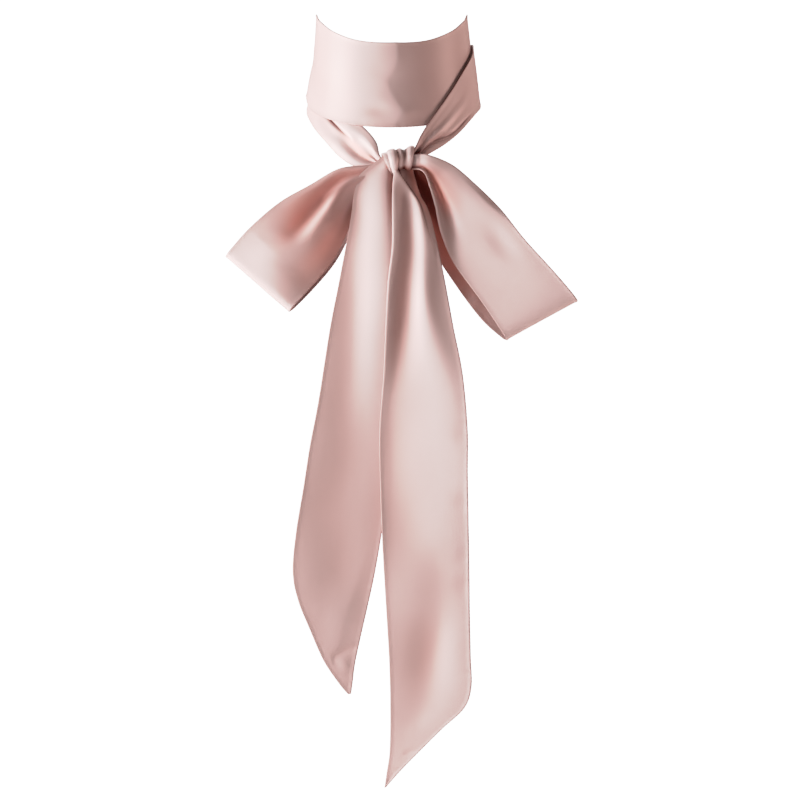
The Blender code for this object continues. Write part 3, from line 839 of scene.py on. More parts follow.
TAIL_LEFT_TUCKS = (
    soft(
        (0.25, 0.938, 0.008, 0.008, 0), (0.44, 0.926, 0.008, 0.008, -0.6),
        (0.7, 0.915, 0.008, 0.008, -0.8), (1, 0.905, 0.008, 0.008, -0.5),
    ),
)
TAIL_LEFT_DIMPLES = ((0.942, 0.64, 5, 4, 0, 0.5),)
TAIL_LEFT_PAINTED_LIGHT = {
    "rosy": painted_light_at(
        soft((0, 1.05, 0.26, 0.3, 1), (0.08, 1.05, 0.2, 0.25, 0.9), (0.13, 1, 0.12, 0.16, 0)),
    ),
    "dark": painted_light_at(
        soft(
            (0, 0.96, 0.2, 0.3, 1), (0.04, 0.95, 0.14, 0.3, 1), (0.07, 0.96, 0.12, 0.3, 1),
            (0.09, 0.98, 0.1, 0.2, 0.9), (0.115, 1, 0.08, 0.15, 0.5), (0.14, 1, 0.06, 0.1, 0),
        ),
    ),
}

tail_left, tail_left_strip = make_cloth(
    "left_tail_satin", hanging, EDGE_COLUMNS, TAIL_LEFT, TAIL_LEFT_CREASES, TAIL_LEFT_PAINTED_LIGHT,
    TAIL_LEFT_TUCKS, TAIL_LEFT_DIMPLES, seed=4, gathers=NOT_GATHERED,
)

# %% [markdown]
# ## The right tail
#
# This tail hangs in front of the other and further down. Its right edge is turned forward, which
# only the light shows from the front: a surface that faces the window more is paler.

# %% Right tail: where it goes
TAIL_RIGHT = (
    (4, -76, -66, 14, -75, -66, 0),
    (1.6, -80.6, -73, 15.6, -77, -72, 0.2),
    (0.5, -83.2, -81, 18, -79, -81, 0.5),
    (0, -85, -92, 21.5, -81, -92, 0.8),
    (0, -86.4, -104, 27.5, -83.4, -104, 1),
    (0, -87.4, -130, 34, -87, -130, 1),
    (-3, -87.6, -157, 39.5, -89, -157, 0.8),
    (-4.7, -86.8, -190, 45.5, -91.5, -190, 0.4),
    (-6.2, -84.8, -225, 52.3, -94.5, -225, 0),
    (-9.2, -83.6, -265, 56, -95.5, -265, 0),
    (-9, -83.6, -300, 56.2, -95, -300, 0),
    (-7.2, -84, -350, 57, -93, -350, 0),
    (-4.4, -83.4, -398, 57.6, -92, -398, 0),
    (-2.3, -82.4, -433, 58.4, -91.4, -433, 0),
    (-1.5, -82, -457, 58.9, -91.8, -455, 0.2),
    (-1.3, -82, -473, 53.5, -90.8, -471, 0.2),
    (-1.3, -82, -489, 37, -88.6, -487, 0.2),
    (-1.9, -82, -507, 19, -86, -505.5, 0.2),
    (-3.8, -82, -519.5, 6.2, -84, -519, 0),
    (-5.6, -81.8, -532.3, -4, -81.8, -531, 0),
)
print("right tail:", len(TAIL_RIGHT), "sections")

# %% Right tail: creases, painted light and shade, and the cloth
TAIL_RIGHT_CREASES = (
    soft(
        (0.005, 0.05, 0.2, 0.04, 1), (0.02, 0.23, 0.25, 0.04, 2), (0.04, 0.57, 0.3, 0.04, 2.4),
        (0.059, 0.75, 0.3, 0.035, 2.4), (0.083, 0.77, 0.28, 0.03, 2.2),
        (0.106, 0.8, 0.26, 0.03, 1.8), (0.129, 0.85, 0.24, 0.03, 1.2), (0.16, 0.9, 0.22, 0.03, 0),
    ),
    soft(
        (0, 0.6, 0.1, 0.2, 0), (0.037, 0.6, 0.3, 0.18, -1.6), (0.057, 0.58, 0.32, 0.2, -2.6),
        (0.107, 0.46, 0.28, 0.18, -4), (0.174, 0.38, 0.24, 0.18, -4.8),
        (0.228, 0.32, 0.2, 0.18, -4.8), (0.295, 0.22, 0.16, 0.2, -3.6),
        (0.372, 0.14, 0.12, 0.24, -1.2), (0.45, 0.15, 0.14, 0.28, -1.8),
        (0.56, 0.15, 0.14, 0.3, -1.4), (0.68, 0.12, 0.12, 0.32, 0),
    ),
    soft(
        (0, 0.1, 0.1, 0.2, 0.2), (0.047, 0.1, 0.1, 0.22, 1.2), (0.107, 0.06, 0.08, 0.18, 1.8),
        (0.174, 0.04, 0.06, 0.14, 2), (0.295, 0.03, 0.05, 0.1, 1.2), (0.4, 0.02, 0.05, 0.08, 0.5),
        (0.5, 0.02, 0.05, 0.08, 0),
    ),
    soft(
        (0.04, 0.76, 0.15, 0.12, 0), (0.097, 0.7, 0.18, 0.2, 1.6), (0.151, 0.68, 0.2, 0.22, 2),
        (0.215, 0.62, 0.22, 0.18, 3.6), (0.275, 0.68, 0.26, 0.2, 3),
        (0.372, 0.84, 0.34, 0.24, 2.2), (0.45, 0.92, 0.42, 0.24, 2.4), (0.56, 1, 0.46, 0.24, 2),
        (0.66, 1, 0.46, 0.24, 1.2), (0.76, 1, 0.42, 0.24, 1.8), (0.84, 1, 0.4, 0.24, 1.8),
        (0.92, 1, 0.5, 0.24, 0.8), (0.97, 1, 0.5, 0.24, 0),
    ),
    soft(
        (0.6, 0.66, 0.22, 0.18, 0), (0.65, 0.64, 0.22, 0.18, -0.6), (0.7, 0.6, 0.24, 0.18, -1),
        (0.752, 0.55, 0.26, 0.18, -2.6), (0.8, 0.48, 0.26, 0.2, -2.4),
        (0.85, 0.42, 0.26, 0.22, -1), (0.9, 0.36, 0.24, 0.22, 0),
    ),
)
TAIL_RIGHT_DIMPLES = (
    (0.429, 0.95, 7, 7, -30, -0.5), (0.534, 0.95, 7, 6, -30, -0.4),
    (0.618, 0.95, 7, 6, -30, -0.4), (0.665, 0.94, 8, 7, -30, -0.6), (0.937, 0.66, 3, 4, 0, -0.4),
)
TAIL_RIGHT_PAINTED_LIGHT = {
    "rosy": painted_light_at(
        soft((0, 0.9, 0.3, 0.3, 0.7), (0.06, 0.92, 0.14, 0.14, 0.5), (0.12, 0.95, 0.1, 0.1, 0)),
    ),
    "dark": painted_light_at(
        soft(
            (0, 0.1, 0.2, 0.2, 0.9), (0.02, 0.26, 0.06, 0.07, 0.9), (0.04, 0.61, 0.03, 0.06, 0.9),
            (0.059, 0.79, 0.025, 0.05, 0.85), (0.083, 0.805, 0.02, 0.04, 0.75),
            (0.106, 0.83, 0.02, 0.03, 0.5), (0.135, 0.88, 0.02, 0.02, 0),
        ),
        soft(
            (0, 0.5, 0.8, 0.8, 0.9), (0.014, 0.6, 0.6, 0.5, 0.7), (0.03, 0.8, 0.3, 0.3, 0.5),
            (0.055, 0.9, 0.15, 0.15, 0),
        ),
    ),
}

tail_right, tail_right_strip = make_cloth(
    "right_tail_satin", hanging, EDGE_COLUMNS, TAIL_RIGHT, TAIL_RIGHT_CREASES, TAIL_RIGHT_PAINTED_LIGHT,
    dimples=TAIL_RIGHT_DIMPLES, seed=5, gathers=NOT_GATHERED,
)

# %% [markdown]
# ## The knot
#
# Two narrow gathered bands pass over the squeezed middle of the knot: a soft roll on the left, and
# the wrap on the right, which holds everything together. Between and behind them, a rounded core
# stands for the cloth packed inside, with painted shade and a painted rosy glow all over it. Bands
# bent over an ellipse, with soft pleats side by side, read as tightly gathered silk.

# %% Knot: where the bands go
KNOT_CORE = (
    (-180, -4, 12.5, -66, 6.4, 4.8, 0, 0),
    (-90, -5, 13, -66, 6.4, 5, 0.6, 0.2),
    (0, -4.6, 13.2, -66, 6.6, 5.2, 0, 0.3),
    (90, -4.6, 13, -66.2, 6.8, 5.2, -0.6, 0.3),
    (180, -4, 12.5, -66, 6.4, 4.8, 0, 0),
)
KNOT_WRAP = (
    (-75, 3, 16, -64.5, 8, 7.6, 2, 0),
    (-30, 2.4, 16.6, -64.5, 8.6, 7.8, 2.6, 0.2),
    (20, 2.6, 16.9, -64.3, 9.4, 8, 3, 0.6),
    (70, 4.6, 16.5, -64.3, 10.2, 8, 2.4, 0.8),
    (110, 4.6, 15.8, -64.5, 10, 8.2, 1.6, 0.8),
    (150, 4, 14.6, -64.5, 9, 8.4, 1, 0.4),
    (200, 4.4, 14.2, -64.5, 8.6, 8.4, 0.6, 0),
)
KNOT_ROLL = (
    (-60, -7, 1.6, -67, 8.8, 7, 1.6, 0),
    (-10, -8, 2.4, -67, 9.2, 7.6, 2.4, 0.3),
    (40, -7.4, 4.4, -67, 10, 8, 2.6, 0.8),
    (80, -5.4, 5.4, -67.2, 10.8, 8, 1.6, 1.2),
    (120, -2.8, 4.6, -67.2, 10.4, 8, 0.4, 0.9),
    (155, -0.4, 3.2, -67.2, 9, 8, 0, 0.3),
    (190, 0.8, 2.6, -67.2, 8.2, 8, -0.4, 0),
)
print("knot:", len(KNOT_CORE), len(KNOT_WRAP), len(KNOT_ROLL), "sections")

# %% Knot: creases
KNOT_CORE_CREASES = (
    soft((0, 0.3, 0.1, 0.1, -0.7), (0.5, 0.34, 0.1, 0.1, -0.9), (1, 0.3, 0.1, 0.1, -0.7)),
    soft((0, 0.66, 0.12, 0.1, -0.8), (0.5, 0.62, 0.12, 0.1, -0.6), (1, 0.66, 0.12, 0.1, -0.8)),
)
KNOT_WRAP_CREASES = (
    soft(
        (0, 0.22, 0.2, 0.08, 0.6), (0.3, 0.24, 0.2, 0.07, 1.2), (0.6, 0.22, 0.2, 0.07, 1.2),
        (1, 0.2, 0.16, 0.08, 0.2),
    ),
    soft(
        (0, 0.5, 0.12, 0.12, -0.5), (0.3, 0.48, 0.14, 0.14, -0.9), (0.6, 0.46, 0.14, 0.14, -1),
        (1, 0.5, 0.12, 0.1, -0.6),
    ),
    soft(
        (0, 0.88, 0.22, 0.1, 0.6), (0.3, 0.86, 0.24, 0.09, 1.3), (0.6, 0.84, 0.24, 0.09, 1.3),
        (1, 0.8, 0.16, 0.1, 0.3),
    ),
)
KNOT_ROLL_CREASES = (
    soft(
        (0, 0.36, 0.12, 0.08, -0.3), (0.25, 0.36, 0.12, 0.08, -0.7),
        (0.5, 0.34, 0.12, 0.08, -0.8), (0.75, 0.32, 0.12, 0.1, -0.5), (1, 0.36, 0.12, 0.12, 0),
    ),
    soft(
        (0, 0.8, 0.5, 0.12, 0.8), (0.25, 0.8, 0.6, 0.11, 2), (0.5, 0.8, 0.6, 0.11, 2.4),
        (0.75, 0.78, 0.55, 0.12, 1.6), (1, 0.7, 0.4, 0.16, 0.2),
    ),
    crisp(
        (0, 0.95, 0.04, 0.05, -0.3), (0.3, 0.94, 0.04, 0.05, -0.6), (0.6, 0.94, 0.04, 0.05, -0.6),
        (1, 0.95, 0.04, 0.05, 0),
    ),
)
print("knot:", len(KNOT_CORE_CREASES + KNOT_WRAP_CREASES + KNOT_ROLL_CREASES), "creases")

# %% Knot: painted light and shade
# Painted shade and a painted rosy glow over the whole core, which sits deep inside the knot.
KNOT_CORE_PAINTED_LIGHT = {
    "rosy": painted_light_at(
        soft((0, 0.5, 1, 1, 1), (1, 0.5, 1, 1, 1)),
    ),
    "dark": painted_light_at(
        soft((0, 0.5, 1, 1, 0.8), (1, 0.5, 1, 1, 0.8)),
    ),
}
KNOT_WRAP_PAINTED_LIGHT = {
    "rosy": painted_light_at(
        soft((0.7, 0.46, 0.18, 0.18, 0), (0.8, 0.5, 0.6, 0.6, 0.8), (1, 0.5, 0.8, 0.8, 0.8)),
    ),
    "dark": painted_light_at(
        soft((0, 1, 0.04, 0.04, 0.8), (1, 1, 0.05, 0.05, 0.8)),
        soft((0, 0.02, 0.06, 0.05, 0.6), (0.8, 0.02, 0.06, 0.06, 0.7), (1, 0.1, 0.2, 0.2, 0.8)),
        soft((0, 0.46, 0.14, 0.16, 0.5), (0.7, 0.44, 0.14, 0.16, 0.45), (1, 0.5, 0.2, 0.2, 0)),
        soft((0.7, 0.5, 0.6, 0.6, 0), (0.82, 0.5, 0.8, 0.8, 0.7), (1, 0.5, 0.8, 0.8, 1)),
    ),
}
KNOT_ROLL_PAINTED_LIGHT = {
    "rosy": painted_light_at(
        soft((0, 0.92, 0.1, 0.1, 0.6), (0.8, 0.92, 0.1, 0.1, 0.7), (1, 0.5, 0.8, 0.8, 1)),
    ),
    "dark": painted_light_at(
        soft(
            (0, 0.97, 0.03, 0.05, 0.4), (0.4, 0.97, 0.04, 0.05, 0.7),
            (0.8, 0.97, 0.06, 0.05, 0.8), (1, 0.9, 0.3, 0.3, 0.8),
        ),
        soft(
            (0.3, 0, 0.03, 0.03, 0), (0.5, 0, 0.06, 0.06, 0.6), (0.76, 0, 0.12, 0.12, 0.8),
            (0.86, 0.3, 0.6, 0.6, 0.8), (1, 0.3, 0.8, 0.8, 1),
        ),
    ),
}
print("knot tints:", ", ".join(KNOT_CORE_PAINTED_LIGHT))


# %% Lay the knot
def make_band(name, rows, creases, painted_light):
    """A band over the knot, whose pleats are all in its table."""
    return make_cloth(name, over_the_knot, KNOT_COLUMNS, rows, creases, painted_light, gathers=())


knot_core, _ = make_band("knot_core_satin", KNOT_CORE, KNOT_CORE_CREASES, KNOT_CORE_PAINTED_LIGHT)
knot_wrap, wrap_strip = make_band("knot_wrap_satin", KNOT_WRAP, KNOT_WRAP_CREASES, KNOT_WRAP_PAINTED_LIGHT)
knot_roll, roll_strip = make_band("knot_roll_satin", KNOT_ROLL, KNOT_ROLL_CREASES, KNOT_ROLL_PAINTED_LIGHT)

# %% [markdown]
# ## Tools for materials
#
# A material is a small tree of nodes. One function adds a node, with its settings and its inputs,
# so that a tree reads from top to bottom like a recipe. Colours are written as the sRGB codes that
# a picture shows, and turned to the linear values that the renderer reckons with.


# %% Colours and nodes
def linear(code):
    """The linear colour of an sRGB hex code."""
    parts = [int(code[i : i + 2], 16) / 255 for i in (1, 3, 5)]
    light = [c / 12.92 if c <= 0.04045 else ((c + 0.055) / 1.055) ** 2.4 for c in parts]
    return (*light, 1.0)


def fill_inputs(node, inputs):
    """Set inputs to values, or link them to sockets. A node stands for its first output."""
    for name, value in inputs.items():
        if isinstance(value, bpy.types.Node):
            value = value.outputs[0]
        if isinstance(value, bpy.types.NodeSocket):
            node.id_data.links.new(value, node.inputs[name])
        else:
            node.inputs[name].default_value = value


def add_node(tree, kind, inputs=None, **settings):
    """A node with its settings, and its inputs set to values or linked."""
    node = tree.nodes.new(kind)
    for name, value in settings.items():
        setattr(node, name, value)
    fill_inputs(node, inputs or {})
    return node


def shader_of(material):
    return material.node_tree.nodes["Principled BSDF"]


def new_material(name, inputs):
    """A material whose shader has these inputs."""
    material = bpy.data.materials.new(name)
    material.use_nodes = True
    fill_inputs(shader_of(material), inputs)
    print("made", name)
    return material


# A Mix node has a set of sockets for each kind of value. These are its colour ones.
MIX_A, MIX_B, MIXED = 6, 7, 2
print("mixed colours: sockets", MIX_A, "and", MIX_B, "to", MIXED)

# %% [markdown]
# ## Silk satin
#
# Satin is woven with long floating threads, so it throws back light in a broad soft sheen instead
# of a sharp gleam, and looks paler where it is lit and rosier in its folds. Pale dusty pink comes
# from a rose base colour under that pale sheen. The roughness is higher than that of polished
# things and lower than that of cotton. The gleam is stretched across the threads, which is what
# the anisotropic inputs do, and the sheen input adds the pale edge of fine fibres.

# %% Start the satin
satin = new_material(
    "dusty_pink_silk_satin",
    {
        "Roughness": 0.5,
        # Silk has about 1.55. A little more makes up for the many small faces of its threads.
        "IOR": 1.65,
        "Anisotropic": 0.7,
        "Anisotropic Rotation": 0.25,
        "Sheen Roughness": 0.5,
        "Sheen Tint": linear("#fbe6e4"),
        "Specular Tint": linear("#fbe9e8"),
    },
)
weave = satin.node_tree

# %% [markdown]
# ## One dye, with painted light and shade
#
# The pink looks deeper where light has bounced between the walls of a fold, rosy where light comes
# through a layer, and nearly brown in the shade of tight places. The renderer doesn't carry light
# through this cloth, so all of that is painted into the colour: a painted shade in the troughs of
# the folds, a painted rosy glow, a painted brown shade, and a painted shade along the rolled edges.
# Hardly any light comes out of such tight places, so the gleam is taken away where the brown shade
# is painted. Four values on the mesh say where all that is, and each mixes one more colour in. An
# image would do the same, but tied to one size of picture.

# %% Its dye, painted light and shade, and gleam
FOLD_DEPTH, FOLD_HEIGHT = -3.5, 1.5
OPEN_GLEAM, SHADED_GLEAM = 0.5, 0.05
EDGE_SHADE_SHARE = 0.5
fold, rosy, dark, rim = (
    add_node(weave, "ShaderNodeAttribute", attribute_name=word).outputs["Fac"]
    for word in ("fold", "rosy", "dark", "rim")
)
folded = {"Value": fold, "From Min": FOLD_DEPTH, "From Max": FOLD_HEIGHT}
open_cloth = add_node(weave, "ShaderNodeMapRange", folded)
edge_shade_share = add_node(weave, "ShaderNodeMath", {0: rim, 1: EDGE_SHADE_SHARE}, operation="MULTIPLY")
# The colour starts from a painted shade, #c9a29d, in the deepest fold troughs and rises to the open
# dye, #d7bcba; a painted rosy glow, a painted brown shade and a painted shade along the edges are
# mixed in after it.
dye_and_painted_light = linear("#c9a29d")
tones = ((open_cloth, "#d7bcba"), (rosy, "#dc8271"), (dark, "#56211a"), (edge_shade_share, "#7d5046"))
for share, code in tones:
    blend = {"Factor": share, MIX_A: dye_and_painted_light, MIX_B: linear(code)}
    dye_and_painted_light = add_node(weave, "ShaderNodeMix", blend, data_type="RGBA").outputs[MIXED]
# The gleam is taken away where the brown shade is painted.
gleam_under_painted_shade = {"Value": dark, "To Min": OPEN_GLEAM, "To Max": SHADED_GLEAM}
gleam = add_node(weave, "ShaderNodeMapRange", gleam_under_painted_shade)
fill_inputs(
    shader_of(satin), {"Base Color": dye_and_painted_light, "Specular IOR Level": gleam, "Sheen Weight": gleam}
)
print(len(tones) + 1, "colours in", satin.name)

# %% [markdown]
# ## The threads
#
# Floating threads run along the strip, side by side. Stretched noise on the cloth's own UV map is
# enough for them, because a satin weave hides its crossings. Real threads lie a tenth of a
# millimetre apart or less. They are drawn about ten times too coarse, so that they show at all.

# %% Its threads
FLOATS_PER_METRE = (60.0, 1100.0, 1.0)
THREAD_RELIEF, THREAD_HEIGHT = 0.12, 0.0002
cloth = add_node(weave, "ShaderNodeUVMap", uv_map="cloth")
threads = add_node(weave, "ShaderNodeMapping", {"Vector": cloth, "Scale": FLOATS_PER_METRE})
floats = add_node(
    weave, "ShaderNodeTexNoise", {"Vector": threads, "Scale": 1.0, "Detail": 2.0}
).outputs["Fac"]
bumps = {"Height": floats, "Strength": THREAD_RELIEF, "Distance": THREAD_HEIGHT}
relief = add_node(weave, "ShaderNodeBump", bumps)
along = add_node(weave, "ShaderNodeTangent", direction_type="UV_MAP", uv_map="cloth")
fill_inputs(shader_of(satin), {"Normal": relief, "Tangent": along})

knot_pieces = [knot_core, knot_wrap, knot_roll]
cloth_pieces = [winding, loop_left, loop_right, tail_left, tail_right] + knot_pieces
for piece in cloth_pieces:
    piece.data.materials.append(satin)
print("satin on", len(cloth_pieces), "pieces")

# %% [markdown]
# ## The stitches of the sewn edge
#
# The doubled strip was sewn shut along one edge, right sides together, and turned, so its stitches
# lie in the fold of that edge and only show as small grains of thread where the two layers part.
# They repeat along a path, which is what Geometry Nodes are for: the tree turns the seam line into
# a curve, sets a point at every stitch, and puts one short thread on each. Copying objects in a
# loop would do the same with a thousand objects to keep.

# %% Inputs of the sewing tree
STITCH_PITCH = 0.0026
STITCH_LENGTH = 0.0017
THREAD_THICKNESS = 0.00024

sewing = bpy.data.node_groups.new("sewn_along_the_edge", "GeometryNodeTree")
socket = {}
for name, kind, start in (
    ("Geometry", "NodeSocketGeometry", None),
    ("Pitch", "NodeSocketFloat", STITCH_PITCH),
    ("Stitch length", "NodeSocketFloat", STITCH_LENGTH),
    ("Thickness", "NodeSocketFloat", THREAD_THICKNESS),
    ("Thread", "NodeSocketMaterial", None),
):
    item = sewing.interface.new_socket(name, in_out="INPUT", socket_type=kind)
    socket[name] = item.identifier
    if start is not None:
        item.default_value = start
sewing.interface.new_socket("Geometry", in_out="OUTPUT", socket_type="NodeSocketGeometry")
given = add_node(sewing, "NodeGroupInput").outputs
print("sewing takes", ", ".join(socket))

# %% A short thread at every stitch
GRAIN = {"Segments": 6, "Rings": 5, "Radius": 1.0}
line = add_node(sewing, "GeometryNodeMeshToCurve", {"Mesh": given["Geometry"]})
spacing = {"Curve": line, "Length": given["Pitch"]}
steps = add_node(sewing, "GeometryNodeResampleCurve", spacing, mode="LENGTH")
tangent = add_node(sewing, "GeometryNodeInputTangent")
turned = add_node(sewing, "FunctionNodeAlignRotationToVector", {"Vector": tangent}, axis="X")
half_length, half_thick = (
    add_node(sewing, "ShaderNodeMath", {0: given[name], 1: 0.5}, operation="MULTIPLY")
    for name in ("Stitch length", "Thickness")
)
sizes = {"X": half_length, "Y": half_thick, "Z": half_thick}
size = add_node(sewing, "ShaderNodeCombineXYZ", sizes)
grain = add_node(sewing, "GeometryNodeMeshUVSphere", GRAIN)
row = {"Points": steps, "Instance": grain, "Rotation": turned, "Scale": size}
stitches = add_node(sewing, "GeometryNodeInstanceOnPoints", row)
real = add_node(sewing, "GeometryNodeRealizeInstances", {"Geometry": stitches})
dyed = {"Geometry": real, "Material": given["Thread"]}
coloured = add_node(sewing, "GeometryNodeSetMaterial", dyed)
add_node(sewing, "NodeGroupOutput", {0: coloured})
print(f"a stitch every {STITCH_PITCH / MM:.1f} mm, from {len(sewing.nodes)} nodes")

# %% [markdown]
# ## The sewing thread
#
# Silk sewing thread, dyed to match: two plies twisted round each other, a little duller than
# satin. A diagonal wave gives the twist, in colour and in relief. The real twist is 0.3 mm long.
# It is drawn at twice that, so that it shows at all in a close view.

# %% Twist the thread
TWIST_SCALE, TWIST_UNEVENNESS = 520.0, 1.5
TWIST_RELIEF, TWIST_HEIGHT = 0.3, 0.0001
thread = new_material("dusty_pink_silk_sewing_thread", {"Roughness": 0.6})
spun = thread.node_tree
place = add_node(spun, "ShaderNodeTexCoord").outputs["Object"]
turns = {"Vector": place, "Scale": TWIST_SCALE, "Distortion": TWIST_UNEVENNESS}
twist = add_node(spun, "ShaderNodeTexWave", turns, bands_direction="DIAGONAL").outputs["Fac"]
plies = {"Factor": twist, MIX_A: linear("#a8807a"), MIX_B: linear("#cba9a4")}
ply = add_node(spun, "ShaderNodeMix", plies, data_type="RGBA").outputs[MIXED]
bumps = {"Height": twist, "Strength": TWIST_RELIEF, "Distance": TWIST_HEIGHT}
relief = add_node(spun, "ShaderNodeBump", bumps)
fill_inputs(shader_of(thread), {"Base Color": ply, "Normal": relief})
print(len(spun.nodes), "nodes in", thread.name)

# %% [markdown]
# ## Sewing each stretch
#
# The seam line is the last line of points of each strip, left bare for a few rows at its ends,
# where the hem or the knot is. The tree's result is turned into a plain mesh.

# %% Sew the edge of each stretch
BARE_ROWS = 6


def sew(name, strip):
    """The stitches along the strip's sewn edge, as one mesh."""
    line = strip["points"][BARE_ROWS:-BARE_ROWS, -1] * MM
    mesh = bpy.data.meshes.new(name)
    mesh.from_pydata(line.tolist(), [(i, i + 1) for i in range(len(line) - 1)], [])
    piece = add_object(name, mesh)
    needle = piece.modifiers.new("sewing", "NODES")
    needle.node_group = sewing
    needle[socket["Pitch"]] = STITCH_PITCH
    needle[socket["Stitch length"]] = STITCH_LENGTH
    needle[socket["Thickness"]] = THREAD_THICKNESS
    needle[socket["Thread"]] = thread
    graph = bpy.context.evaluated_depsgraph_get()
    sewn = bpy.data.meshes.new_from_object(piece.evaluated_get(graph), depsgraph=graph)
    piece.modifiers.remove(needle)
    piece.data = sewn
    bpy.data.meshes.remove(mesh)
    sewn.name = name
    sewn.shade_smooth()
    print(f"{name}: {len(sewn.polygons)} faces")
    return piece


winding_stitches = sew("winding_stitches", winding_strip)
loop_left_stitches = sew("left_loop_stitches", loop_left_strip)
loop_right_stitches = sew("right_loop_stitches", loop_right_strip)
tail_left_stitches = sew("left_tail_stitches", tail_left_strip)
tail_right_stitches = sew("right_tail_stitches", tail_right_strip)

# %% [markdown]
# ## The stage
#
# The scarf hangs as if worn, in front of plain white. The floor is a pale disc far below. The
# backdrop is a tall white drum that glows evenly, and it is hidden from everything but the camera,
# so that it neither lights the silk nor shows in its sheen.


# %% The floor
def ring(radius, z, sides):
    """Points round a circle."""
    angles = [2 * math.pi * i / sides for i in range(sides)]
    return [(radius * math.cos(a), radius * math.sin(a), z) for a in angles]


FLOOR_Z, FLOOR_RADIUS, FLOOR_SIDES = -0.9, 1.35, 96
floor_mesh = bpy.data.meshes.new("floor")
floor_mesh.from_pydata(ring(FLOOR_RADIUS, FLOOR_Z, FLOOR_SIDES), [], [list(range(FLOOR_SIDES))])
floor = add_object("floor", floor_mesh)
paint = {"Base Color": linear("#f4f2f1"), "Roughness": 0.9}
floor_mesh.materials.append(new_material("pale_matt_floor_paint", paint))

# %% The backdrop
WALL_RADIUS, WALL_SIDES = 5, 48
WHITE_GLOW = {
    "Base Color": (0, 0, 0, 1), "Emission Color": (1, 1, 1, 1), "Emission Strength": 2.1,
}
wall = []
for i in range(WALL_SIDES):
    after = (i + 1) % WALL_SIDES
    wall.append((i, i + WALL_SIDES, after + WALL_SIDES, after))
lids = [list(range(WALL_SIDES)), list(range(2 * WALL_SIDES - 1, WALL_SIDES - 1, -1))]
rings = ring(WALL_RADIUS, -WALL_RADIUS, WALL_SIDES) + ring(WALL_RADIUS, WALL_RADIUS, WALL_SIDES)
backdrop_mesh = bpy.data.meshes.new("backdrop")
backdrop_mesh.from_pydata(rings, [], wall + lids)
backdrop = add_object("backdrop", backdrop_mesh)
backdrop_mesh.materials.append(new_material("evenly_lit_white_paper", WHITE_GLOW))
for way in ("diffuse", "glossy", "transmission", "volume_scatter", "shadow"):
    setattr(backdrop, "visible_" + way, False)

# %% [markdown]
# ## Light
#
# One large soft lamp from the left of the camera models the folds, and another, low on the same
# side, lifts the shade below them. Weak warm lamps stand for light that comes back from the walls
# of a room, and keep the shaded side readable. A dim warm world fills what is left.

# %% The room
world = bpy.data.worlds.new("dim_warm_room")
world.use_nodes = True
bpy.context.scene.world = world
room = {"Color": (1, 0.87, 0.82, 1), "Strength": 0.05}
fill_inputs(world.node_tree.nodes["Background"], room)
print("room light", room["Strength"])

# %% The lamps
MIDDLE = (0.0, -0.05, -0.2)
LAMP_DISTANCE = 2.2
DAYLIGHT = (1.0, 1.0, 1.0)
WARM_WALL = (1.0, 0.79, 0.72)
LAMPS = (
    # name, size in metres, power in watts, colour, degrees round from the camera, degrees up
    ("window", 1.4, 103, DAYLIGHT, -81, 3),
    ("left_floor", 0.8, 61, DAYLIGHT, -60, -35),
    ("front_room", 0.9, 9, WARM_WALL, -22, 5),
    ("high_window", 0.9, 10, DAYLIGHT, 180, 45),
    ("right_wall", 0.9, 30, WARM_WALL, 90, 5),
    ("right_back", 0.9, 7, WARM_WALL, 140, 5),
)


def add_lamp(name, size, power, colour, around, up):
    """A square lamp at a fixed distance from the scarf, turned to its middle."""
    around, up = math.radians(around), math.radians(up)
    reach = LAMP_DISTANCE * math.cos(up)
    light = bpy.data.lights.new(name, "AREA")
    light.color = colour
    light.size = size
    light.energy = power
    place = (
        MIDDLE[0] + reach * math.sin(around), MIDDLE[1] - reach * math.cos(around),
        MIDDLE[2] + LAMP_DISTANCE * math.sin(up),
    )
    lamp = add_object(name, light)
    lamp.location = place
    away = np.array(place) - np.array(MIDDLE)
    tilt = math.atan2(math.hypot(away[0], away[1]), away[2])
    lamp.rotation_euler = (tilt, 0, math.atan2(away[0], -away[1]))
    lamp.visible_camera = False


for lamp in LAMPS:
    add_lamp(*lamp)
print(len(LAMPS), "lamps")

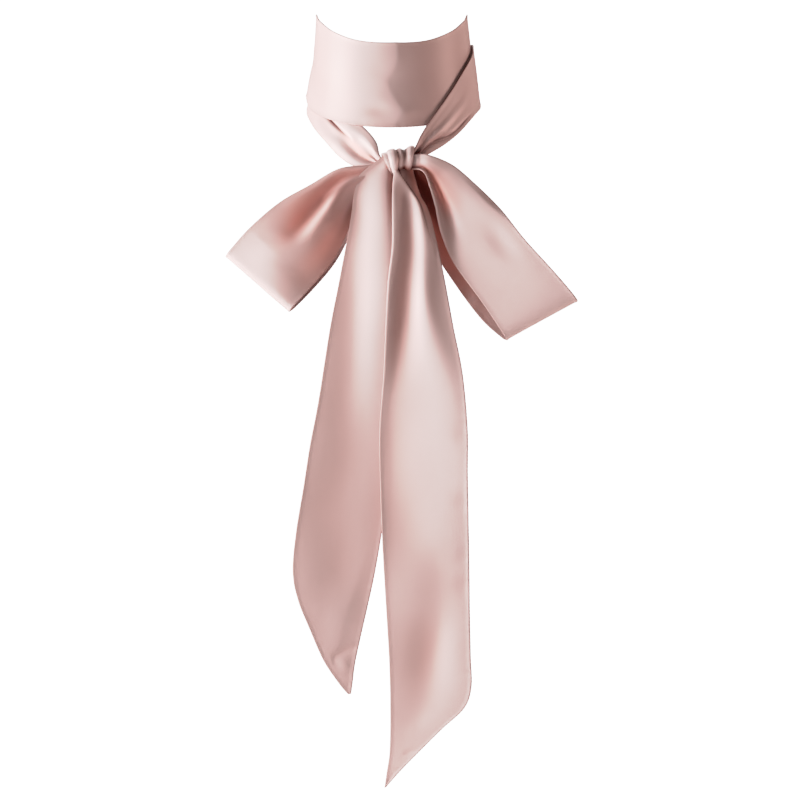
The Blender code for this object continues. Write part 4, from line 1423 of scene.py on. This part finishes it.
# %% [markdown]
# ## Camera and tones
#
# The camera stands level, 1.3 metres in front of the bow, with a long lens. Like film, the picture
# gives up its brightest tones slowly, so that the lit satin keeps its colour. A curve from light
# to picture does that, and white is set at twice the usual light.

# %% Set the camera
LENS, SENSOR = 78, 36
VIEWPOINT = (0.006, -1.37, -0.24375)
camera = bpy.data.cameras.new("camera")
camera.lens = LENS
camera.sensor_width = SENSOR
view = add_object("camera", camera)
view.location = VIEWPOINT
view.rotation_euler = (math.radians(90), 0, 0)
bpy.context.scene.camera = view
print("camera at", VIEWPOINT)

# %% Set the tones
WHITE = 2.0
TONES = ((0.1, 0.195), (0.225, 0.45), (0.335, 0.66), (0.5, 0.8), (0.7, 0.915))
look = bpy.context.scene.view_settings
look.view_transform = "Standard"
look.use_curve_mapping = True
look.curve_mapping.white_level = (WHITE, WHITE, WHITE)
all_colours = look.curve_mapping.curves[3]
all_colours.points[-1].location = (1.0, 1.0)
for light_in, light_out in TONES:
    all_colours.points.new(light_in, light_out)
look.curve_mapping.update()
print("tone curve through", len(TONES), "points")

# %% [markdown]
# ## Hand each piece to the frame
#
# Every piece rides on the one body, replaces the plain solid that stood for it, and says which
# finish it has and how large its cloth was cut. The cloth of the knot was cut with the winding, so
# its length is added there.

WINDING_NODES = ("strap_left", "back_inner", "neck_band", "back_outer", "strap_right")
cloth_of = (
    (winding, WINDING_NODES, winding_strip, "gathered", [winding_stitches] + knot_pieces),
    (loop_left, ("loop_left",), loop_left_strip, "gathered", [loop_left_stitches]),
    (loop_right, ("loop_right",), loop_right_strip, "gathered", [loop_right_stitches]),
    (tail_left, ("tail_left",), tail_left_strip, "hung", [tail_left_stitches]),
    (tail_right, ("tail_right",), tail_right_strip, "hung", [tail_right_stitches]),
)
for piece, nodes, strip, held, others in cloth_of:
    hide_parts(*nodes)
    for item in [piece] + others:
        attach(item, "root")
for piece, node in zip(knot_pieces, ("knot_core", "knot_wrap", "knot_roll")):
    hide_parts(node)
print("pieces ride and replace their nodes")
